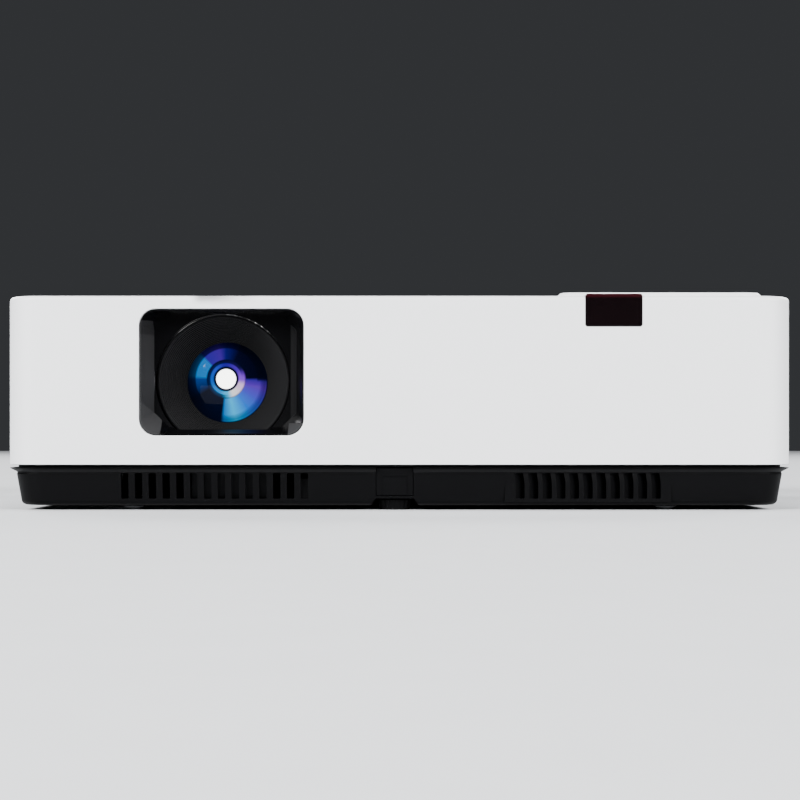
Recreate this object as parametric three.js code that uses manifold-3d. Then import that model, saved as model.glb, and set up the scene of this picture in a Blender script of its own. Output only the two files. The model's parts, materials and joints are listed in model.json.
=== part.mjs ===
// A portable three-panel LCD projector, in millimetres. +X is to the right of someone who looks at
// the front, the front faces -Y and +Z is up. It stands on z = 0, with the origin under its middle.

import * as THREE from 'three';
import { mergeVertices } from 'three/addons/utils/BufferGeometryUtils.js';
import { LoftGeometry } from 'three/addons/geometries/LoftGeometry.js';
import Module from 'manifold-3d';

// Whole body
const bodyWidth = 350;
const bodyDepth = 260;
const coverTop = 95.3;
const seamHeight = 20.3;
const planCorner = 13;

// Clearances and working allowances
const fitGap = 0.3;
const cutOverrun = 2;
const weldDistance = 0.0001;

// How far a joined piece reaches into the wall that carries it, as a share of that wall
const biteShare = 0.25;

// Upper cover
const coverWall = 3;
const topWall = 3;
const topEdgeRadius = 2;

// Lower case
const caseTop = 19;
const caseBottom = 2.1;
const lipHeight = 0.6;
const lipChamfer = 2;
const lipDepth = 2.6;
const sideDraft = 1.8;
const bottomRadius = 2.5;
const caseWall = 2.6;
const floorThickness = 2.5;
const tongueRise = 3;
const tongueWall = 1.7;

// Front vents in the lower case
const ventLow = 5.1;
const ventHigh = 16.5;
const slotVentInset = 51;
const slotVentPitch = 6.155;
const slotVentWidth = 3.3;
const slotVentCount = 13;
const blindSlotDepth = 0.8;
const louvreVentInset = 123.7;
const louvreVentPitch = 6.06;
const louvreVentWidth = 4.4;
const louvreVentCount = 11;
const louvreSlant = 3;

// Air slots in the floor
const floorSlotLength = 46;
const floorSlotWidth = 3;
const floorSlotPitch = 7;
const floorSlotCount = 9;
const floorSlotInset = 47;
const floorSlotSetback = 46;

// Lens opening and its funnel
const windowInset = 96;
const windowZ = 61.35;
const windowWidth = 73.2;
const windowHeight = 56.3;
const windowCorner = 7.5;
const bezelRim = 0.6;
const bezelDepth = 11;
const bezelPlate = 2;
const bezelLeftTaper = 5;
const bezelRightTaper = 3.1;
const bezelTopTaper = 0.7;
const bezelBottomTaper = 1.8;
const bezelCornerFacet = 7.5;
const bezelLedge = 2.3;
const bezelFlangeSide = 3.3;
const bezelFlangeEnd = 1;
const bezelFlangeThickness = 1.6;
const bezelHoleGap = 0.8;

// Lens, along its axis from the front face of the body
const lensShift = -0.3;
const lensZ = 57.6;
const cellTravelGap = 1.2;
const cellRadius = 30;
const cellHeadLength = 17.4;
const cellLand = 1.6;
const cellTubeRadius = 22;
const cellTubeLength = 15;
const cellTubeWall = 1.3;
const baffleDepth = 22.5;
const baffleSteps = 4;
const glassOpening = 18.5;
const glassEdge = 4.6;
const glassCrown = 4;
const glassSeatGap = 0.9;
const barrelRadius = 25.6;
const barrelStep = 1;
const ringRadius = 31;
const ringLength = 15.4;
const ringFluteDepth = 0.7;
const ringFlutes = 18;
const ringRunningGap = 0.4;
const collarRadius = 28;
const collarLength = 2;
const zoomLeverWidth = 5;
const zoomLeverHeight = 4.6;
const zoomLeverLength = 7;
const lensFlangeWidth = 74;
const lensFlangeHeight = 68;
const lensFlangeThickness = 4;
const rearTubeRadius = 20;
const rearTubeBore = 17;
const rearTubeLength = 20;
const zoomGlassThickness = 8;
const zoomGlassCrown = 2;
const zoomGlassBack = 21;

// Finger opening over the lens rings
const accessWidth = 62;
const accessLength = 45;
const accessCorner = 6;
const accessBevel = 3;
const accessSetback = 28;
const scoopWidth = 26.6;
const scoopDepth = 0.9;
const scoopHeight = 3.3;

// Infrared window over the top front edge
const irWidth = 25.5;
const irInset = 79.8;
const irBottom = 81.8;
const irTopDepth = 12;
const irProud = 0.9;
const irWall = 2;
const irCorner = 1;

// Control panel and keys on the top
const panelInset = 57;
const panelSetback = 15;
const panelWidth = 92;
const panelDepth = 56;
const panelCorner = 6;
const panelSeat = 1.2;
const panelThickness = 3.4;
const panelBevel = 1.2;
const panelLedge = 4;
const keyProud = 0.9;
const keyFlange = 0.8;
const keyFlangeThickness = 0.8;
const keyBoardThickness = 1.6;
const keyBoardMargin = 3;
const roundKeyRadius = 5.5;
const arrowKeyLength = 9;
const arrowKeyWidth = 6;
const arrowKeyCorner = 1.6;
const arrowReach = 12.5;
const navX = -24;
const keyColumnNear = 10;
const keyColumnFar = 32;
const keyRow = 13;
const keyRowNear = -3.25;
const indicatorLength = 36;
const indicatorWidth = 3.2;
const indicatorX = 21;
const indicatorRow = -15;

// Lamp cover at the right and its opening
const lampCoverReach = 40;
const lampCoverHalfDepth = 39;
const lampCoverSkirt = 15;
const lampCoverSeat = 1.8;
const lampCoverCorner = 4;
const captiveHeadRadius = 3.2;
const captiveHeadHeight = 1.1;
const captiveShankRadius = 1.5;
const captiveShankLength = 9;
const captiveDrop = 8.5;
const captiveBossRadius = 4;
const captiveBossLength = 9;

// Lamp module
const lampInset = 73;
const lampSetback = 85;
const lampWidth = 60;
const lampDepth = 56;
const lampBottom = 24;
const lampHeight = 60;
const lampWall = 2;
const lampTabWidth = 38;
const lampTabHeight = 5;
const reflectorLength = 32;
const reflectorNeckRadius = 7;
const reflectorNeckLength = 12;
const reflectorWall = 2;
const reflectorSetback = 4;

// Fans, both of one size
const fanSize = 50;
const fanDepth = 15;
const fanRim = 1.8;
const fanCorner = 4;
const rotorTipGap = 0.8;
const rotorHubRadius = 11;
const rotorGap = 0.4;
const rotorDepth = 10.5;
const rotorBlades = 7;
const bladeThickness = 1.4;
const bladeSlope = 0.7;
const spiderThickness = 2.4;
const spiderArmWidth = 3;

// Exhaust at the right side
const exhaustFanInset = 27.5;
const exhaustShift = 3;
const exhaustBottom = 26;
const exhaustSideMargin = 1;
const exhaustCorner = 3;
const exhaustPlate = 2;
const exhaustRimWall = 2.5;
const exhaustSlotHeight = 4.2;
const exhaustSlotCount = 7;
const exhaustSlotSlant = 2.2;
const grilleFlange = 2.3;
const grilleFlangeThickness = 1.2;

// Filter cover, filter and intake fan at the left side
const filterSetback = 57;
const filterZ = 56;
const filterWidth = 78;
const filterHeight = 56;
const filterCorner = 2;
const filterPlate = 2.4;
const filterDoorGap = 0.7;
const filterHingeInset = 1.6;
const filterHingeRise = 2;
const filterPinRadius = 0.9;
const filterPinLength = 1.8;
const filterPadMargin = 4;
const filterPadThickness = 5.6;
const filterSlotHeight = 3.6;
const filterSlotCount = 7;
const filterSlotInset = 6;
const filterGripWidth = 16;
const filterGripDepth = 1;
const filterGripHeight = 4;
const collarWall = 2;
const collarReach = 6;
const fanPlateThickness = 2;

// Speaker behind slots in the left side
const speakerSetback = 52;
const speakerZ = 56;
const speakerRadius = 20;
const speakerDepth = 17;
const speakerMagnetRadius = 11;
const speakerMagnetDepth = 6;
const speakerRimThickness = 2;
const speakerSlotLength = 34;
const speakerSlotWidth = 2.2;
const speakerSlotPitch = 5;
const speakerSlotCount = 7;

// Security slot
const lockSetback = 14;
const lockZ = 40;
const lockLength = 7;
const lockHeight = 3;

// Optics housing and what it holds
const opticsSide = 46;
const opticsArmHalf = 27;
const opticsLampGap = 6;
const opticsBottom = 22;
const opticsTop = 86;
const opticsWall = 2.2;
const prismSide = 34;
const prismHeight = 38;
const prismSetback = 96;
const panelGlassThickness = 5;
const panelGlassSide = 37;
const panelGlassGap = 3;

// Terminal panel at the rear
const terminalInset = 98;
const terminalZ = 44;
const terminalWidth = 150;
const terminalHeight = 38;
const terminalCorner = 3;
const terminalRecess = 6.4;
const terminalPlate = 2;
const terminalWall = 1.8;
const terminalFlange = 1.6;
const terminalFlangeThickness = 1.6;

// Boards
const boardThickness = 1.6;
const mainBoardTop = 36;
const mainBoardDepth = 41.5;
const mainBoardSetback = 10.5;
const mainBoardMargin = 2;
const postSize = 6;
const powerBoardTop = 15.6;
const powerBoardGap = 6.6;
const powerBoardInset = 39;
const powerBoardSetback = 53;
const powerBoardDepth = 68;
const chipSize = 15;
const chipPitch = 24;
const chipCount = 5;
const chipInset = 12;
const coreHeight = 25.5;
const transformerX = -17;
const transformerWidth = 30;
const transformerDepth = 27;
const canRadius = 8.5;
const canInset = 11;
const canY = 17;
const canPitch = 19.5;
const canCount = 3;
const sinkInset = 1;
const sinkY = -17;
const sinkLength = 50;
const sinkThickness = 3.2;
const sinkHeight = 34;
const chokeInset = 14;
const chokeRadius = 10;
const chokeHeight = 17;

// Sockets
const shellWall = 0.5;
const computerFlangeWidth = 31;
const computerFlangeHeight = 12.6;
const computerShellWidth = 17;
const computerShellHeight = 8.4;
const computerShellReach = 5.8;
const computerInsertReach = 5;
const computerShellWall = 0.6;
const computerShellTaper = 1.2;
const hexRadius = 2.6;
const hexLength = 5;
const hexSpacing = 25;
const socketBody = 12;
const socketProud = 0.5;
const hdmiWidth = 15;
const hdmiHeight = 5.6;
const hdmiChamfer = 1.8;
const usbWidth = 13.2;
const usbHeight = 5.8;
const usbTongueWidth = 10.2;
const usbTongueThickness = 1.75;
const usbTongueReach = 5;
const lanWidth = 16;
const lanHeight = 13.4;
const lanSill = 1.5;
const lanOpeningWidth = 12;
const lanOpeningHeight = 8.6;
const lanOpeningDepth = 10;
const socketMouthDepth = 9;
const jackPitch = 10;
const jackCollarRadius = 4;
const jackBoreRadius = 1.8;
const jackCollarReach = 1.6;
const jackBlockHeight = 11;
const terminalGap = 0.3;

// Mains inlet
const inletInset = 63;
const inletZ = 45;
const inletWidth = 28;
const inletHeight = 21;
const inletCorner = 2;
const inletOpeningWidth = 24.4;
const inletOpeningHeight = 16.8;
const inletChamfer = 4;
const inletDepth = 16;
const inletBody = 20;
const inletPinLength = 9.5;
const inletPinWidth = 2;
const inletPinHeight = 4;
const inletPinSpread = 7;
const inletPinRise = 3;
const inletFlange = 2.4;
const inletFlangeThickness = 2;

// Front foot and its release
const footX = -2.1;
const footSetback = 14;
const footTopRadius = 8;
const footBottomRadius = 6.9;
const footHeight = 4.7;
const footFlutes = 18;
const footFluteDepth = 0.5;
const spigotRadius = 2.4;
const spigotDrop = 3.2;
const stemRadius = 4;
const stemTop = 42;
const stemGrooves = 6;
const stemGrooveDepth = 0.6;
const notchTopHalf = 8.6;
const notchBottomHalf = 10.65;
const notchTop = 5.2;
const towerHalfWidth = 11.5;
const towerTop = 30;
const towerFront = 5.2;
const towerBack = 33;
const releaseHalfWidth = 8.1;
const releaseBottom = 6.7;
const releaseTop = 18.7;
const releaseFace = 2.9;
const releaseSlope = 1.1;
const releaseBack = 7;
const releaseTravel = 2.5;
const fingerPadHalf = 5.3;
const fingerPadTop = 16;
const fingerPadProud = 0.5;
const fingerGrooveHeight = 1;
const fingerGrooveLow = 11.4;
const fingerGrooveHigh = 14.6;
const forkHalfWidth = 7;
const forkBottom = 8;
const forkTop = 13;
const forkWall = 3;

// Rear feet
const rearFootSideInset = 53;
const rearFootInset = 34;
const rearKnobRadius = 10;
const rearKnobBottom = 1.9;
const rearKnobTop = 6.4;
const rearKnobFlutes = 16;
const rearKnobFluteDepth = 0.6;
const rearStudRadius = 3;
const rearStudTop = 24;
const rearPadRadius = 6;
const rearPadThickness = 1.6;
const rearPadSpigotRadius = 2;
const rearPadSpigotTop = 3.4;
const rearRecessTop = 7;
const rearTowerTop = 16;
const rearTowerWall = 2.8;
const rearRecessGap = 0.8;

// Small pads under the front edge
const frontPadSideInset = 57;
const frontPadInset = 14;
const frontPadTopRadius = 4.2;
const frontPadBottomRadius = 2.2;
const frontPadLift = 0.3;

// Threaded ceiling-mount bosses, under the floor
const ceilingBossX = 90;
const ceilingBossFrontY = -60;
const ceilingBossRearY = 78;
const ceilingBossRadius = 6;
const ceilingBossDrop = 0.6;
const ceilingBossTop = 12;
const ceilingHoleRadius = 1.65;
const ceilingHoleDepth = 9;

// Long case screws at the rear
const screwSideInset = 14.5;
const screwInset = 13;
const screwHeadRadius = 3.2;
const screwHeadHeight = 2;
const screwShankRadius = 1.5;
const screwTop = 20;
const screwSeat = 4.8;
const screwBossRadius = 4.5;
const screwBossTop = 7.7;
const screwHoleGap = 0.3;

// Facets on round shapes
const cornerFacets = 5;
const edgeFacets = 2;
const lensFacets = 32;
const roundFacets = 16;
const smallFacets = 12;
const hexFacets = 6;
const crownRings = 3;
const reflectorSteps = 5;
const pointsPerFlute = 4;

// Worked out from the sizes above
const front = -bodyDepth / 2;
const rear = bodyDepth / 2;
const side = bodyWidth / 2;
const coverInnerTop = coverTop - topWall;
const floorTop = caseBottom + floorThickness;
const tongueInset = coverWall + fitGap;
const sideWallInner = side - coverWall;
const footY = front + footSetback;
const rearFootY = rear - rearFootInset;
const screwY = rear - screwInset;
const barrelStart = bezelDepth + bezelPlate + cellTravelGap + cellHeadLength + barrelStep;
const cellFront = bezelDepth + bezelPlate + cellTravelGap;
const cellTubeBore = cellTubeRadius - cellTubeWall;
const barrelBore = cellTubeRadius + fitGap;
const focusStart = barrelStart + ringRunningGap;
const collarStart = focusStart + ringLength + ringRunningGap;
const zoomStart = collarStart + collarLength + ringRunningGap;
const lensFlangeStart = zoomStart + ringLength + ringRunningGap;
const opticsFront = lensFlangeStart + lensFlangeThickness + fitGap;
const terminalFace = rear - terminalRecess;
const panelBottom = coverTop - panelSeat + fitGap;
const reflectorRadius = lampDepth / 2 - lampWall - fitGap;
const fanBoreRadius = fanSize / 2 - fanRim;
const exhaustWidth = fanSize + 2 * exhaustSideMargin;
const exhaustHeight = fanSize;
const rotorTipRadius = fanBoreRadius - rotorTipGap;

// Places that keep their distance from the nearest side, front or rear
const slotVentX = slotVentInset - side;
const louvreVentX = side - louvreVentInset;
const floorSlotX = floorSlotInset - side;
const floorSlotY = front + floorSlotSetback;
const windowX = windowInset - side;
const lensX = windowX + lensShift;
const irX = side - irInset;
const panelX = side - panelInset;
const panelY = front + panelSetback + panelDepth / 2;
const lampX = side - lampInset;
const lampY = rear - lampSetback;
const lampCoverX = lampX - lampCoverReach;
const lampCoverSpan = [lampY - lampCoverHalfDepth, lampY + lampCoverHalfDepth];
const exhaustFanX = side - exhaustFanInset;
const exhaustY = lampY + exhaustShift;
const exhaustZ = exhaustBottom + exhaustHeight / 2;
const filterY = front + filterSetback;
const speakerY = rear - speakerSetback;
const lockY = rear - lockSetback;
const opticsRight = lampX - lampWidth / 2 - opticsLampGap;
const opticsNear = front + opticsFront;
const opticsBend = lampY - opticsArmHalf;
const opticsBack = lampY + opticsArmHalf;
const terminalX = terminalInset - side;
const mainBoardRear = rear - mainBoardSetback;
const mainBoardFront = mainBoardRear - mainBoardDepth;
const powerBoardLeft = footX + towerHalfWidth + powerBoardGap;
const powerBoardWidth = side - powerBoardInset - powerBoardLeft;
const powerBoardX = powerBoardLeft + powerBoardWidth / 2;
const powerBoardY = front + powerBoardSetback;
const inletX = side - inletInset;
const rearFootX = side - rearFootSideInset;
const frontPadX = side - frontPadSideInset;
const screwX = side - screwSideInset;

const wasm = await Module();
wasm.setup();

// Turns a closed geometry into a solid that can be joined and cut.
function solid(geometry) {
  const bare = new THREE.BufferGeometry();
  bare.setAttribute('position', geometry.getAttribute('position'));
  bare.setIndex(geometry.getIndex());
  const merged = mergeVertices(bare, weldDistance);
  const corners = merged.index.array;
  const triangles = [];
  for (let i = 0; i < corners.length; i += 3) {
    const [a, b, c] = corners.slice(i, i + 3);
    if (a !== b && b !== c && c !== a) {
      triangles.push(a, b, c);
    }
  }
  return new wasm.Manifold(new wasm.Mesh({
    numProp: 3,
    vertProperties: new Float32Array(merged.attributes.position.array),
    triVerts: new Uint32Array(triangles),
  }));
}

function toGeometry(shape) {
  const mesh = shape.getMesh();
  const geometry = new THREE.BufferGeometry();
  geometry.setAttribute('position', new THREE.BufferAttribute(mesh.vertProperties, 3));
  geometry.setIndex(new THREE.BufferAttribute(mesh.triVerts, 1));
  geometry.computeVertexNormals();
  return geometry;
}

function joinAll(shapes) {
  return shapes.reduce((whole, shape) => whole.add(shape));
}

function cutAll(shape, tools) {
  return tools.reduce((left, tool) => left.subtract(tool), shape);
}

function around(centre, size) {
  return [centre - size / 2, centre + size / 2];
}

function block([x0, x1], [y0, y1], [z0, z1]) {
  const geometry = new THREE.BoxGeometry(x1 - x0, y1 - y0, z1 - z0);
  geometry.translate((x0 + x1) / 2, (y0 + y1) / 2, (z0 + z1) / 2);
  return solid(geometry);
}

// Points of a rounded rectangle round its own middle, anticlockwise.
function roundedOutline(width, height, radius, steps = cornerFacets) {
  const corners = [[1, 1], [-1, 1], [-1, -1], [1, -1]];
  return corners.flatMap(([sx, sy], quarter) => {
    const points = [];
    for (let i = 0; i <= steps; i += 1) {
      const angle = (quarter + i / steps) * Math.PI / 2;
      const x = sx * (width / 2 - radius) + radius * Math.cos(angle);
      const y = sy * (height / 2 - radius) + radius * Math.sin(angle);
      points.push(new THREE.Vector2(x, y));
    }
    return points;
  });
}

function circleOutline(radius, facets) {
  const points = [];
  for (let i = 0; i < facets; i += 1) {
    const angle = (i / facets) * Math.PI * 2;
    points.push(new THREE.Vector2(radius * Math.cos(angle), radius * Math.sin(angle)));
  }
  return points;
}

function flutedOutline(radius, depth, flutes) {
  const points = [];
  const count = flutes * pointsPerFlute;
  for (let i = 0; i < count; i += 1) {
    const angle = ((i + 0.5) / count) * Math.PI * 2;
    const crest = i % pointsPerFlute < pointsPerFlute / 2;
    const reach = crest ? radius : radius - depth;
    points.push(new THREE.Vector2(reach * Math.cos(angle), reach * Math.sin(angle)));
  }
  return points;
}

function moved(points, x, y) {
  return points.map((point) => new THREE.Vector2(point.x + x, point.y + y));
}

function polygon(pairs) {
  return pairs.map(([x, y]) => new THREE.Vector2(x, y));
}

function extruded(points, depth, holes) {
  const shape = new THREE.Shape(points);
  holes.forEach((hole) => shape.holes.push(new THREE.Path(hole)));
  return new THREE.ExtrudeGeometry(shape, { depth, bevelEnabled: false, curveSegments: cornerFacets });
}

// An outline in X and Y, raised from one height to another.
function prismZ(points, [z0, z1], holes = []) {
  const geometry = extruded(points, z1 - z0, holes);
  geometry.translate(0, 0, z0);
  return solid(geometry);
}

// An outline in X and Z, carried back from one y to another.
function prismY(points, [y0, y1], holes = []) {
  const geometry = extruded(points, y1 - y0, holes);
  geometry.rotateX(Math.PI / 2);
  geometry.translate(0, y1, 0);
  return solid(geometry);
}

// An outline in Y and Z, carried to the right from one x to another.
function prismX(points, [x0, x1], holes = []) {
  const geometry = extruded(points, x1 - x0, holes);
  const turn = new THREE.Matrix4().makeBasis(
    new THREE.Vector3(0, 1, 0),
    new THREE.Vector3(0, 0, 1),
    new THREE.Vector3(1, 0, 0),
  );
  geometry.applyMatrix4(turn);
  geometry.translate(x0, 0, 0);
  return solid(geometry);
}

// A profile of radius and distance turned round the Y axis, anticlockwise and closed on itself.
function turnedY(profile, facets) {
  const points = profile.map(([radius, along]) => new THREE.Vector2(radius, along));
  points.push(points[0].clone());
  return new THREE.LatheGeometry(points, facets);
}

function turnedZ(profile, facets) {
  return turnedY(profile, facets).rotateX(Math.PI / 2);
}

function turnedX(profile, facets) {
  return turnedY(profile, facets).rotateZ(-Math.PI / 2);
}

function cylinderProfile(radius, [low, high]) {
  return [[0, low], [radius, low], [radius, high], [0, high]];
}

function cylinderZ(radius, span, x, y, facets = roundFacets) {
  const geometry = turnedZ(cylinderProfile(radius, span), facets);
  return solid(geometry.translate(x, y, 0));
}

function cylinderY(radius, span, x, z, facets = roundFacets) {
  const geometry = turnedY(cylinderProfile(radius, span), facets);
  return solid(geometry.translate(x, 0, z));
}

function cylinderX(radius, span, y, z, facets = roundFacets) {
  const geometry = turnedX(cylinderProfile(radius, span), facets);
  return solid(geometry.translate(0, y, z));
}

// Skins outlines one above the other. Each level is a height and an outline in X and Y.
function loftUp(levels) {
  const sections = levels.map(([z, points]) => points.map((p) => new THREE.Vector3(p.x, p.y, z)));
  return solid(new LoftGeometry(sections, { capStart: true, capEnd: true }));
}

// Skins outlines one behind the other. Each level is a y and an outline in X and Z.
function loftBack(levels) {
  const sections = levels.map(([y, points]) => {
    const section = points.map((p) => new THREE.Vector3(p.x, y, p.y));
    return section.reverse();
  });
  return solid(new LoftGeometry(sections, { capStart: true, capEnd: true }));
}

// The body's plan outline, drawn in from the widest line by an inset.
function bodyOutline(inset) {
  return roundedOutline(bodyWidth - 2 * inset, bodyDepth - 2 * inset, planCorner - inset);
}

function paint(color, roughness, metalness = 0) {
  return new THREE.MeshStandardMaterial({ color, roughness, metalness });
}

const whitePlastic = paint(0xe3e4e6, 0.42);
const whiteKey = paint(0xd6d8db, 0.45);
const blackPlastic = paint(0x161718, 0.5);
const glossBlack = paint(0x0b0b0d, 0.18);
const lensBlack = paint(0x121315, 0.4);
const smokedWindow = paint(0x2a0d12, 0.12);
const clearGlass = paint(0x2b3f7a, 0.05);
const greyRubber = paint(0x8b8d90, 0.8);
const blackRubber = paint(0x17181a, 0.85);
const filterFoam = paint(0x3c3f42, 0.95);
const circuitGreen = paint(0x1f5a3a, 0.6);
const platedSteel = paint(0xb9bcc0, 0.3, 1);
const castAlloy = paint(0x8d9196, 0.5, 1);
const lampCeramic = paint(0xcfc9bb, 0.7);
const indicatorLens = paint(0x9fb7a6, 0.35);

function piece(name, shape, material, parent, place = [0, 0, 0]) {
  const mesh = new THREE.Mesh(toGeometry(shape), material);
  mesh.name = name;
  mesh.position.set(...place);
  parent.add(mesh);
}

// Lower case

function caseShell() {
  const sideTop = caseTop - lipHeight - lipChamfer;
  const levels = [];
  for (let i = 0; i <= edgeFacets; i += 1) {
    const angle = (1 - i / edgeFacets) * Math.PI / 2;
    const z = caseBottom + bottomRadius * (1 - Math.sin(angle));
    const inset = lipDepth + sideDraft + bottomRadius * (1 - Math.cos(angle));
    levels.push([z, bodyOutline(inset)]);
  }
  levels.push([sideTop, bodyOutline(lipDepth)]);
  levels.push([caseTop - lipHeight, bodyOutline(0)]);
  levels.push([caseTop, bodyOutline(0)]);
  const tongueTop = seamHeight + tongueRise;
  const tongue = prismZ(bodyOutline(tongueInset), [sideTop, tongueTop]);
  const pocketInset = tongueInset + tongueWall;
  const pocket = loftUp([
    [floorTop, bodyOutline(lipDepth + sideDraft + caseWall)],
    [caseTop, bodyOutline(pocketInset)],
    [tongueTop + cutOverrun, bodyOutline(pocketInset)],
  ]);
  return loftUp(levels).add(tongue).subtract(pocket);
}

function frontWallSpan() {
  return [front - cutOverrun, front + lipDepth + sideDraft + caseWall + cutOverrun];
}

function slotVents() {
  const cuts = [];
  for (let i = 0; i < slotVentCount; i += 1) {
    const x = slotVentX + i * slotVentPitch;
    cuts.push(block([x, x + slotVentWidth], frontWallSpan(), [ventLow, ventHigh]));
  }
  const blindX = slotVentX + slotVentCount * slotVentPitch;
  const blindSpan = [front - cutOverrun, front + lipDepth + sideDraft / 2 + blindSlotDepth];
  cuts.push(block([blindX, blindX + slotVentWidth], blindSpan, [ventLow, ventHigh]));
  return cuts;
}

function louvreVents() {
  const cuts = [];
  const [near, far] = frontWallSpan();
  for (let i = 0; i < louvreVentCount; i += 1) {
    const x = louvreVentX + i * louvreVentPitch;
    const plan = polygon([
      [x - louvreSlant / 2, near],
      [x - louvreSlant / 2 + louvreVentWidth, near],
      [x + louvreSlant + louvreVentWidth, far],
      [x + louvreSlant, far],
    ]);
    cuts.push(prismZ(plan, [ventLow, ventHigh]));
  }
  return cuts;
}

function floorSlots() {
  const cuts = [];
  for (let i = 0; i < floorSlotCount; i += 1) {
    const x = floorSlotX + (i - (floorSlotCount - 1) / 2) * floorSlotPitch;
    const spanZ = [caseBottom - cutOverrun, floorTop + cutOverrun];
    cuts.push(block(around(x, floorSlotWidth), around(floorSlotY, floorSlotLength), spanZ));
  }
  return cuts;
}

function posts(xs, ys, top) {
  const span = [caseBottom + floorThickness / 2, top];
  return xs.flatMap((x) => ys.map((y) => block(around(x, postSize), around(y, postSize), span)));
}

function boardPosts() {
  const edge = postSize;
  const mainXs = around(terminalX, terminalWidth - 2 * edge);
  const mainYs = [mainBoardFront + edge, mainBoardRear - edge];
  const powerXs = around(powerBoardX, powerBoardWidth - 2 * edge);
  const powerYs = around(powerBoardY, powerBoardDepth - 2 * edge);
  const opticsXs = [lensX - opticsSide + edge, opticsRight - edge];
  const opticsYs = [opticsBend + edge, opticsBack - edge];
  const lampXs = around(lampX, lampWidth - 2 * edge);
  const lampYs = around(lampY, lampDepth - 2 * edge);
  return [
    ...posts(mainXs, mainYs, mainBoardTop - boardThickness - fitGap),
    ...posts(powerXs, powerYs, powerBoardTop - boardThickness - fitGap),
    ...posts(opticsXs, opticsYs, opticsBottom - fitGap),
    ...posts([lensX - opticsSide + edge], [opticsNear + edge], opticsBottom - fitGap),
    ...posts(lampXs, lampYs, lampBottom - fitGap),
  ];
}

function footTower() {
  const spanX = around(footX, 2 * towerHalfWidth);
  return block(spanX, [front + towerFront, front + towerBack], [caseBottom, towerTop]);
}

function footCuts() {
  const notch = prismY(polygon([
    [footX - notchBottomHalf, caseBottom - cutOverrun],
    [footX + notchBottomHalf, caseBottom - cutOverrun],
    [footX + notchBottomHalf, caseBottom],
    [footX + notchTopHalf, notchTop],
    [footX - notchTopHalf, notchTop],
    [footX - notchBottomHalf, caseBottom],
  ]), [front - cutOverrun, footY]);
  const recessSpan = [caseBottom - cutOverrun, notchTop];
  const recess = cylinderZ(footTopRadius + rearRecessGap, recessSpan, footX, footY);
  const stemHole = cylinderZ(stemRadius + fitGap, [caseBottom, towerTop + cutOverrun], footX, footY);
  const openBack = releaseBack + releaseTravel + fitGap;
  const keyhole = block(
    around(footX, 2 * (releaseHalfWidth + fitGap)),
    [front - cutOverrun, front + openBack],
    [releaseBottom - fitGap, caseTop + fitGap],
  );
  const forkEnd = footSetback + stemRadius + fitGap + forkWall;
  const forkRoom = block(
    around(footX, 2 * (forkHalfWidth + fitGap)),
    [front + releaseBack, front + forkEnd + releaseTravel + fitGap],
    [forkBottom - fitGap, forkTop + fitGap],
  );
  return [notch, recess, stemHole, keyhole, forkRoom];
}

function rearFootTower(x) {
  const radius = rearKnobRadius + rearRecessGap + rearTowerWall;
  return cylinderZ(radius, [caseBottom, rearTowerTop], x, rearFootY);
}

function rearFootCuts(x) {
  const recessSpan = [caseBottom - cutOverrun, rearRecessTop];
  const holeSpan = [caseBottom, rearTowerTop + cutOverrun];
  const recess = cylinderZ(rearKnobRadius + rearRecessGap, recessSpan, x, rearFootY);
  const hole = cylinderZ(rearStudRadius + fitGap, holeSpan, x, rearFootY, smallFacets);
  return [recess, hole];
}

function ceilingBosses() {
  const spanZ = [caseBottom - ceilingBossDrop, ceilingBossTop];
  const columns = [-ceilingBossX, ceilingBossX];
  const places = columns.flatMap((x) => [[x, ceilingBossFrontY], [x, ceilingBossRearY]]);
  const bosses = places.map(([x, y]) => cylinderZ(ceilingBossRadius, spanZ, x, y));
  const holeSpan = [caseBottom - ceilingBossDrop - cutOverrun, caseBottom + ceilingHoleDepth];
  const holes = places.map(([x, y]) => cylinderZ(ceilingHoleRadius, holeSpan, x, y, smallFacets));
  return { bosses, holes };
}

function screwBoss(x) {
  return cylinderZ(screwBossRadius, [caseBottom, screwBossTop], x, screwY, smallFacets);
}

function screwCuts(x) {
  const headSpan = [caseBottom - cutOverrun, screwSeat];
  const head = cylinderZ(screwHeadRadius + screwHoleGap, headSpan, x, screwY, smallFacets);
  const shankSpan = [caseBottom, screwBossTop + cutOverrun];
  const shank = cylinderZ(screwShankRadius + screwHoleGap, shankSpan, x, screwY, smallFacets);
  return [head, shank];
}

function lowerCase() {
  const ceiling = ceilingBosses();
  const added = [caseShell(), footTower(), ...boardPosts(), ...ceiling.bosses];
  const cuts = [...slotVents(), ...louvreVents(), ...floorSlots(), ...footCuts(), ...ceiling.holes];
  [-1, 1].forEach((hand) => {
    added.push(rearFootTower(hand * rearFootX), screwBoss(hand * screwX));
    cuts.push(...rearFootCuts(hand * rearFootX), ...screwCuts(hand * screwX));
  });
  return cutAll(joinAll(added), cuts);
}

// Upper cover

function coverEnvelope() {
  const levels = [[seamHeight, bodyOutline(0)]];
  for (let i = 0; i <= edgeFacets; i += 1) {
    const angle = (i / edgeFacets) * Math.PI / 2;
    const z = coverTop - topEdgeRadius * (1 - Math.sin(angle));
    levels.push([z, bodyOutline(topEdgeRadius * (1 - Math.cos(angle)))]);
  }
  return loftUp(levels);
}

function coverShell() {
  const inside = prismZ(bodyOutline(coverWall), [seamHeight - cutOverrun, coverInnerTop]);
  return coverEnvelope().subtract(inside);
}

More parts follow.
